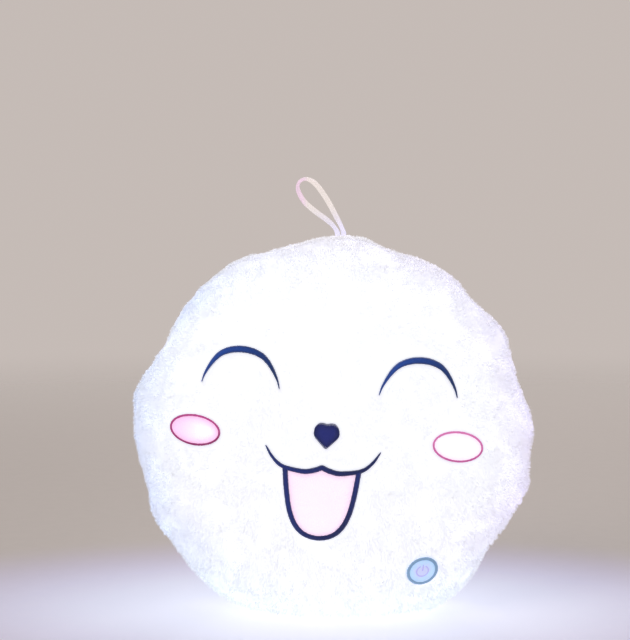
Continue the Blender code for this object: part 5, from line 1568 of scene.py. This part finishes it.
def onZip(along, radius, z):
    angle = np.asarray(along, float) / zipPlace["radius"]
    reach = zipPlace["radius"] + np.asarray(radius, float)
    y = zipPlace["centreY"] + reach * np.cos(angle)
    return np.stack(np.broadcast_arrays(reach * np.sin(angle), y, zipPlace["height"] + z), axis=-1)


def makeTape(name, side, replaced):
    rise = np.linspace(zipTape["near"], zipPlace["tapeEdge"], zipTape["across"])
    cord = np.exp(-(((rise - zipTape["cordAt"]) / zipTape["cordWidth"]) ** 2)) * zipTape["cordRise"]
    ribs = np.cos(rise * 2 * math.pi / zipTape["ribPitch"]) * zipTape["ribs"]
    outer = zipTape["outer"] + np.where(rise < zipTape["ribsFrom"], cord, ribs - zipTape["ribs"])
    inner = np.full_like(rise, zipTape["inner"])
    section = np.vstack([np.stack([outer, rise], -1), np.stack([inner, rise], -1)[::-1]])
    along = np.linspace(-zipPlace["tapeHalf"], zipPlace["tapeHalf"], zipTape["steps"])
    verts = onZip(along[:, None], section[None, :, 0], side * section[None, :, 1])
    grid = len(along), len(section)
    faces = gridFaces(*grid, True) + endCaps(0, *grid, True)
    piece = makePiece(name, verts.reshape(-1, 3), faces, "tapeCloth", "cushion")
    facesOutward(piece, 50)
    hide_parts(replaced)


def makeTeeth(name, side, shift, replaced):
    half = np.array(zipTeeth["outline"])
    outline = np.vstack([half, half[-2::-1] * (-1, 1)])
    centre = np.array((0.0, outline[:, 1].mean()))
    starts = zipTeeth["first"] + shift + zipTeeth["pitch"] * np.arange(zipTeeth["count"])
    verts, faces = [], []
    grid = len(zipTeeth["rings"]), len(outline)
    for start in starts:
        first = len(verts)
        for level, share, dip in zipTeeth["rings"]:
            ring = centre + (outline - centre) * share
            verts += list(onZip(start + ring[:, 0], zipTeeth["middle"] + level + dip, side * ring[:, 1]))
        faces += [[first + i for i in quad] for quad in gridFaces(*grid, True)]
        faces += endCaps(first, *grid, True)
    piece = makePiece(name, verts, faces, "zipNylon", "cushion")
    facesOutward(piece, 35)
    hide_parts(replaced)


def roundedBox(halfLength, halfRise, corner, steps=10):
    turns = np.linspace(0, math.pi / 2, steps)
    points = []
    for index, (x, z) in enumerate(((1, 1), (-1, 1), (-1, -1), (1, -1))):
        angle = turns + index * math.pi / 2
        middle = np.array((x * (halfLength - corner), z * (halfRise - corner)))
        points.append(middle + corner * np.stack([np.cos(angle), np.sin(angle)], -1))
    return np.vstack(points)


def behindSkin(path, depth):
    # Places of the back given by their distance along the zip and above it
    x = zipPlace["radius"] * np.sin(path[..., 0] / zipPlace["radius"])
    z = zipPlace["height"] + path[..., 1]
    return onSkin(x, z, 1, -np.asarray(depth))


def makeHem():
    out = zipHem["out"]
    course = roundedBox(zipPlace["half"] + out, zipPlace["rise"] + out, zipHem["corner"])
    path = evenPath(course, zipHem["sections"], closed=True)
    places, normals = behindSkin(np.vstack([path, path[:2]]), zipHem["depth"])
    look = "plushBacking", "cushion", "plush"
    size = zipHem["width"], zipHem["height"]
    sweepThreads("zipHem", places[None], normals[None], *size, *look, sides=12, taper=1.0)

    pitch = zipHem["stitch"] + zipHem["gap"]
    line = evenPath(course, pitch, closed=True)
    t = np.linspace(0.0, zipHem["stitch"] / pitch, 7)
    flat = between(line, np.roll(line, -1, axis=0), t)
    sunk = np.abs(np.linspace(-1.0, 1.0, 7)) ** 4
    top = zipHem["depth"] - zipHem["height"] / 2
    places, normals = behindSkin(flat, top - zipHem["proud"] + zipHem["sunk"] * sunk)
    look = "tackThread", "cushion", "patch_thread"
    sweepThreads("hemStitches", places, normals, *zipHem["thread"], *look)


makeTape("zipTapeUpper", 1, "zip_tape_upper")
makeTape("zipTapeLower", -1, "zip_tape_lower")
makeTeeth("zipTeethUpper", 1, 0.0, "zip_teeth_upper")
makeTeeth("zipTeethLower", -1, zipTeeth["pitch"] / 2, "zip_teeth_lower")
makeHem()
print("zip made")


# Inner soft pieces: the fibre filling and the cloth pocket of the battery box
inner = {
    "fibres": 2600,
    "fibreSteps": 8,
    "fibreDepth": (0.0076, 0.0110),
    "fibreReach": 0.10,
    "fibreCurl": 16.0,
    "fibreSize": (0.00035, 0.0003),
    "patchClear": 0.017,
    "boxClear": (0.066, 0.018),
    "footClear": 0.005,
    "passes": 3,
    "fillEdge": 0.010,
    "pocketEdge": 0.005,
    "settle": 0.0022,
    "uneven": 0.0020,
    "wrinkle": 0.0003,
}


def settledFill(places, _):
    # Drawn in under the plush and uneven, with the hollows for the box and the lamp as they are
    size = np.array((halfWidth, halfDepth, halfWidth))
    flat = (places - (0.0, 0.0, cushion["centreHeight"])) / size
    near = smoothStep(0.78, 0.92, np.linalg.norm(flat, axis=-1))
    uneven = 0.5 + 0.5 * noiseField(places, 60.0)
    return -unit(flat / size) * (near * (inner["settle"] + inner["uneven"] * uneven))[:, None]


def wrinkled(places, normals):
    return -normals * (inner["wrinkle"] * (0.5 + 0.5 * noiseField(places, 160.0)))[:, None]


def softForm(name, node, material, edge, shift):
    # The frame's own form with finer faces, each corner shifted as a soft thing gives
    bm = bmesh.new()
    bm.from_mesh(frame["nodes"][node].data)
    bmesh.ops.remove_doubles(bm, verts=bm.verts, dist=1e-6)
    bmesh.ops.triangulate(bm, faces=bm.faces)
    for _ in range(inner["passes"]):
        long = [e for e in bm.edges if e.calc_length() > edge]
        bmesh.ops.subdivide_edges(bm, edges=long, cuts=1)
        bmesh.ops.triangulate(bm, faces=[f for f in bm.faces if len(f.verts) > 3])
    bmesh.ops.recalc_face_normals(bm, faces=bm.faces)
    bm.normal_update()
    places = np.array([vert.co for vert in bm.verts])
    normals = np.array([vert.normal for vert in bm.verts])
    for vert, place in zip(bm.verts, places + shift(places, normals)):
        vert.co = place
    mesh = bpy.data.meshes.new(name)
    bm.to_mesh(mesh)
    bm.free()
    mesh.materials.clear()
    mesh.shade_smooth()
    mesh.set_sharp_from_angle(angle=math.radians(55))
    piece = addPiece(name, mesh, material, "cushion")
    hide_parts(node)
    return piece


def makeFibres():
    # Curled fibres that lie on the filling under the plush
    count, steps = inner["fibres"], inner["fibreSteps"]
    turn = np.arccos(chance.uniform(-0.98, 0.98, count))
    angle = chance.uniform(0, 2 * math.pi, count)
    way = chance.uniform(0, 2 * math.pi, count)
    t = np.linspace(-0.5, 0.5, steps)[None, :] * inner["fibreReach"]
    curl = way[:, None] + t * chance.normal(0.0, inner["fibreCurl"], (count, 1))
    turns = np.clip(turn[:, None] + t * np.cos(curl), 0.12, math.pi - 0.12)
    angles = angle[:, None] + t * np.sin(curl) / np.maximum(np.sin(turns), 0.3)
    depth = chance.uniform(*inner["fibreDepth"], (count, 1))
    normals = cushionNormals(turns, angles)
    places = cushionPoints(turns, angles) - normals * depth[..., None]
    clear = patchDistance(places).min(axis=1) > inner["patchClear"]
    clear &= outsideBox(places, *inner["boxClear"]).min(axis=1) > 0
    clear &= places[..., 2].min(axis=1) > inner["footClear"]
    look = "fibreFill", "cushion", "filling"
    sweepThreads("fillFibres", places[clear], normals[clear], *inner["fibreSize"], *look, sides=3)


filling = softForm("fibreFilling", "stuffing", "fibreFill", inner["fillEdge"], settledFill)
makeFibres()
softForm("batteryPocket", "battery_pocket", "pocketCloth", inner["pocketEdge"], wrinkled)
print("inner soft pieces made")


# Finish of the nodes that keep their own shape
finishes = {
    "filling": "fibreFill",
    "white_plastic": "whiteMoulding",
    "diffuser_plastic": "milkyDome",
    "lamp_board": "lampBoard",
    "switch_board": "switchBoard",
    "lamp_chip": "lampChip",
    "black_plastic": "blackMoulding",
    "cell_sleeve": "cellSleeve",
    "contact_metal": "platedContact",
    "zip_metal": "platedZip",
    "zip_tape": "tapeCloth",
    "zip_nylon": "zipNylon",
    "pocket_cloth": "pocketCloth",
    "lead_sheath": "leadSheath",
}


def dressNodes():
    for row in frame["record"]["subparts"]:
        material = looks.get(finishes.get(row["material_slot"]))
        node = frame["nodes"][row["node"]]
        if material and node.material_slots:
            for place in node.material_slots:
                place.material = material
        elif material:
            node.data.materials.append(material)


dressNodes()

scene.view_settings.view_transform = "Standard"
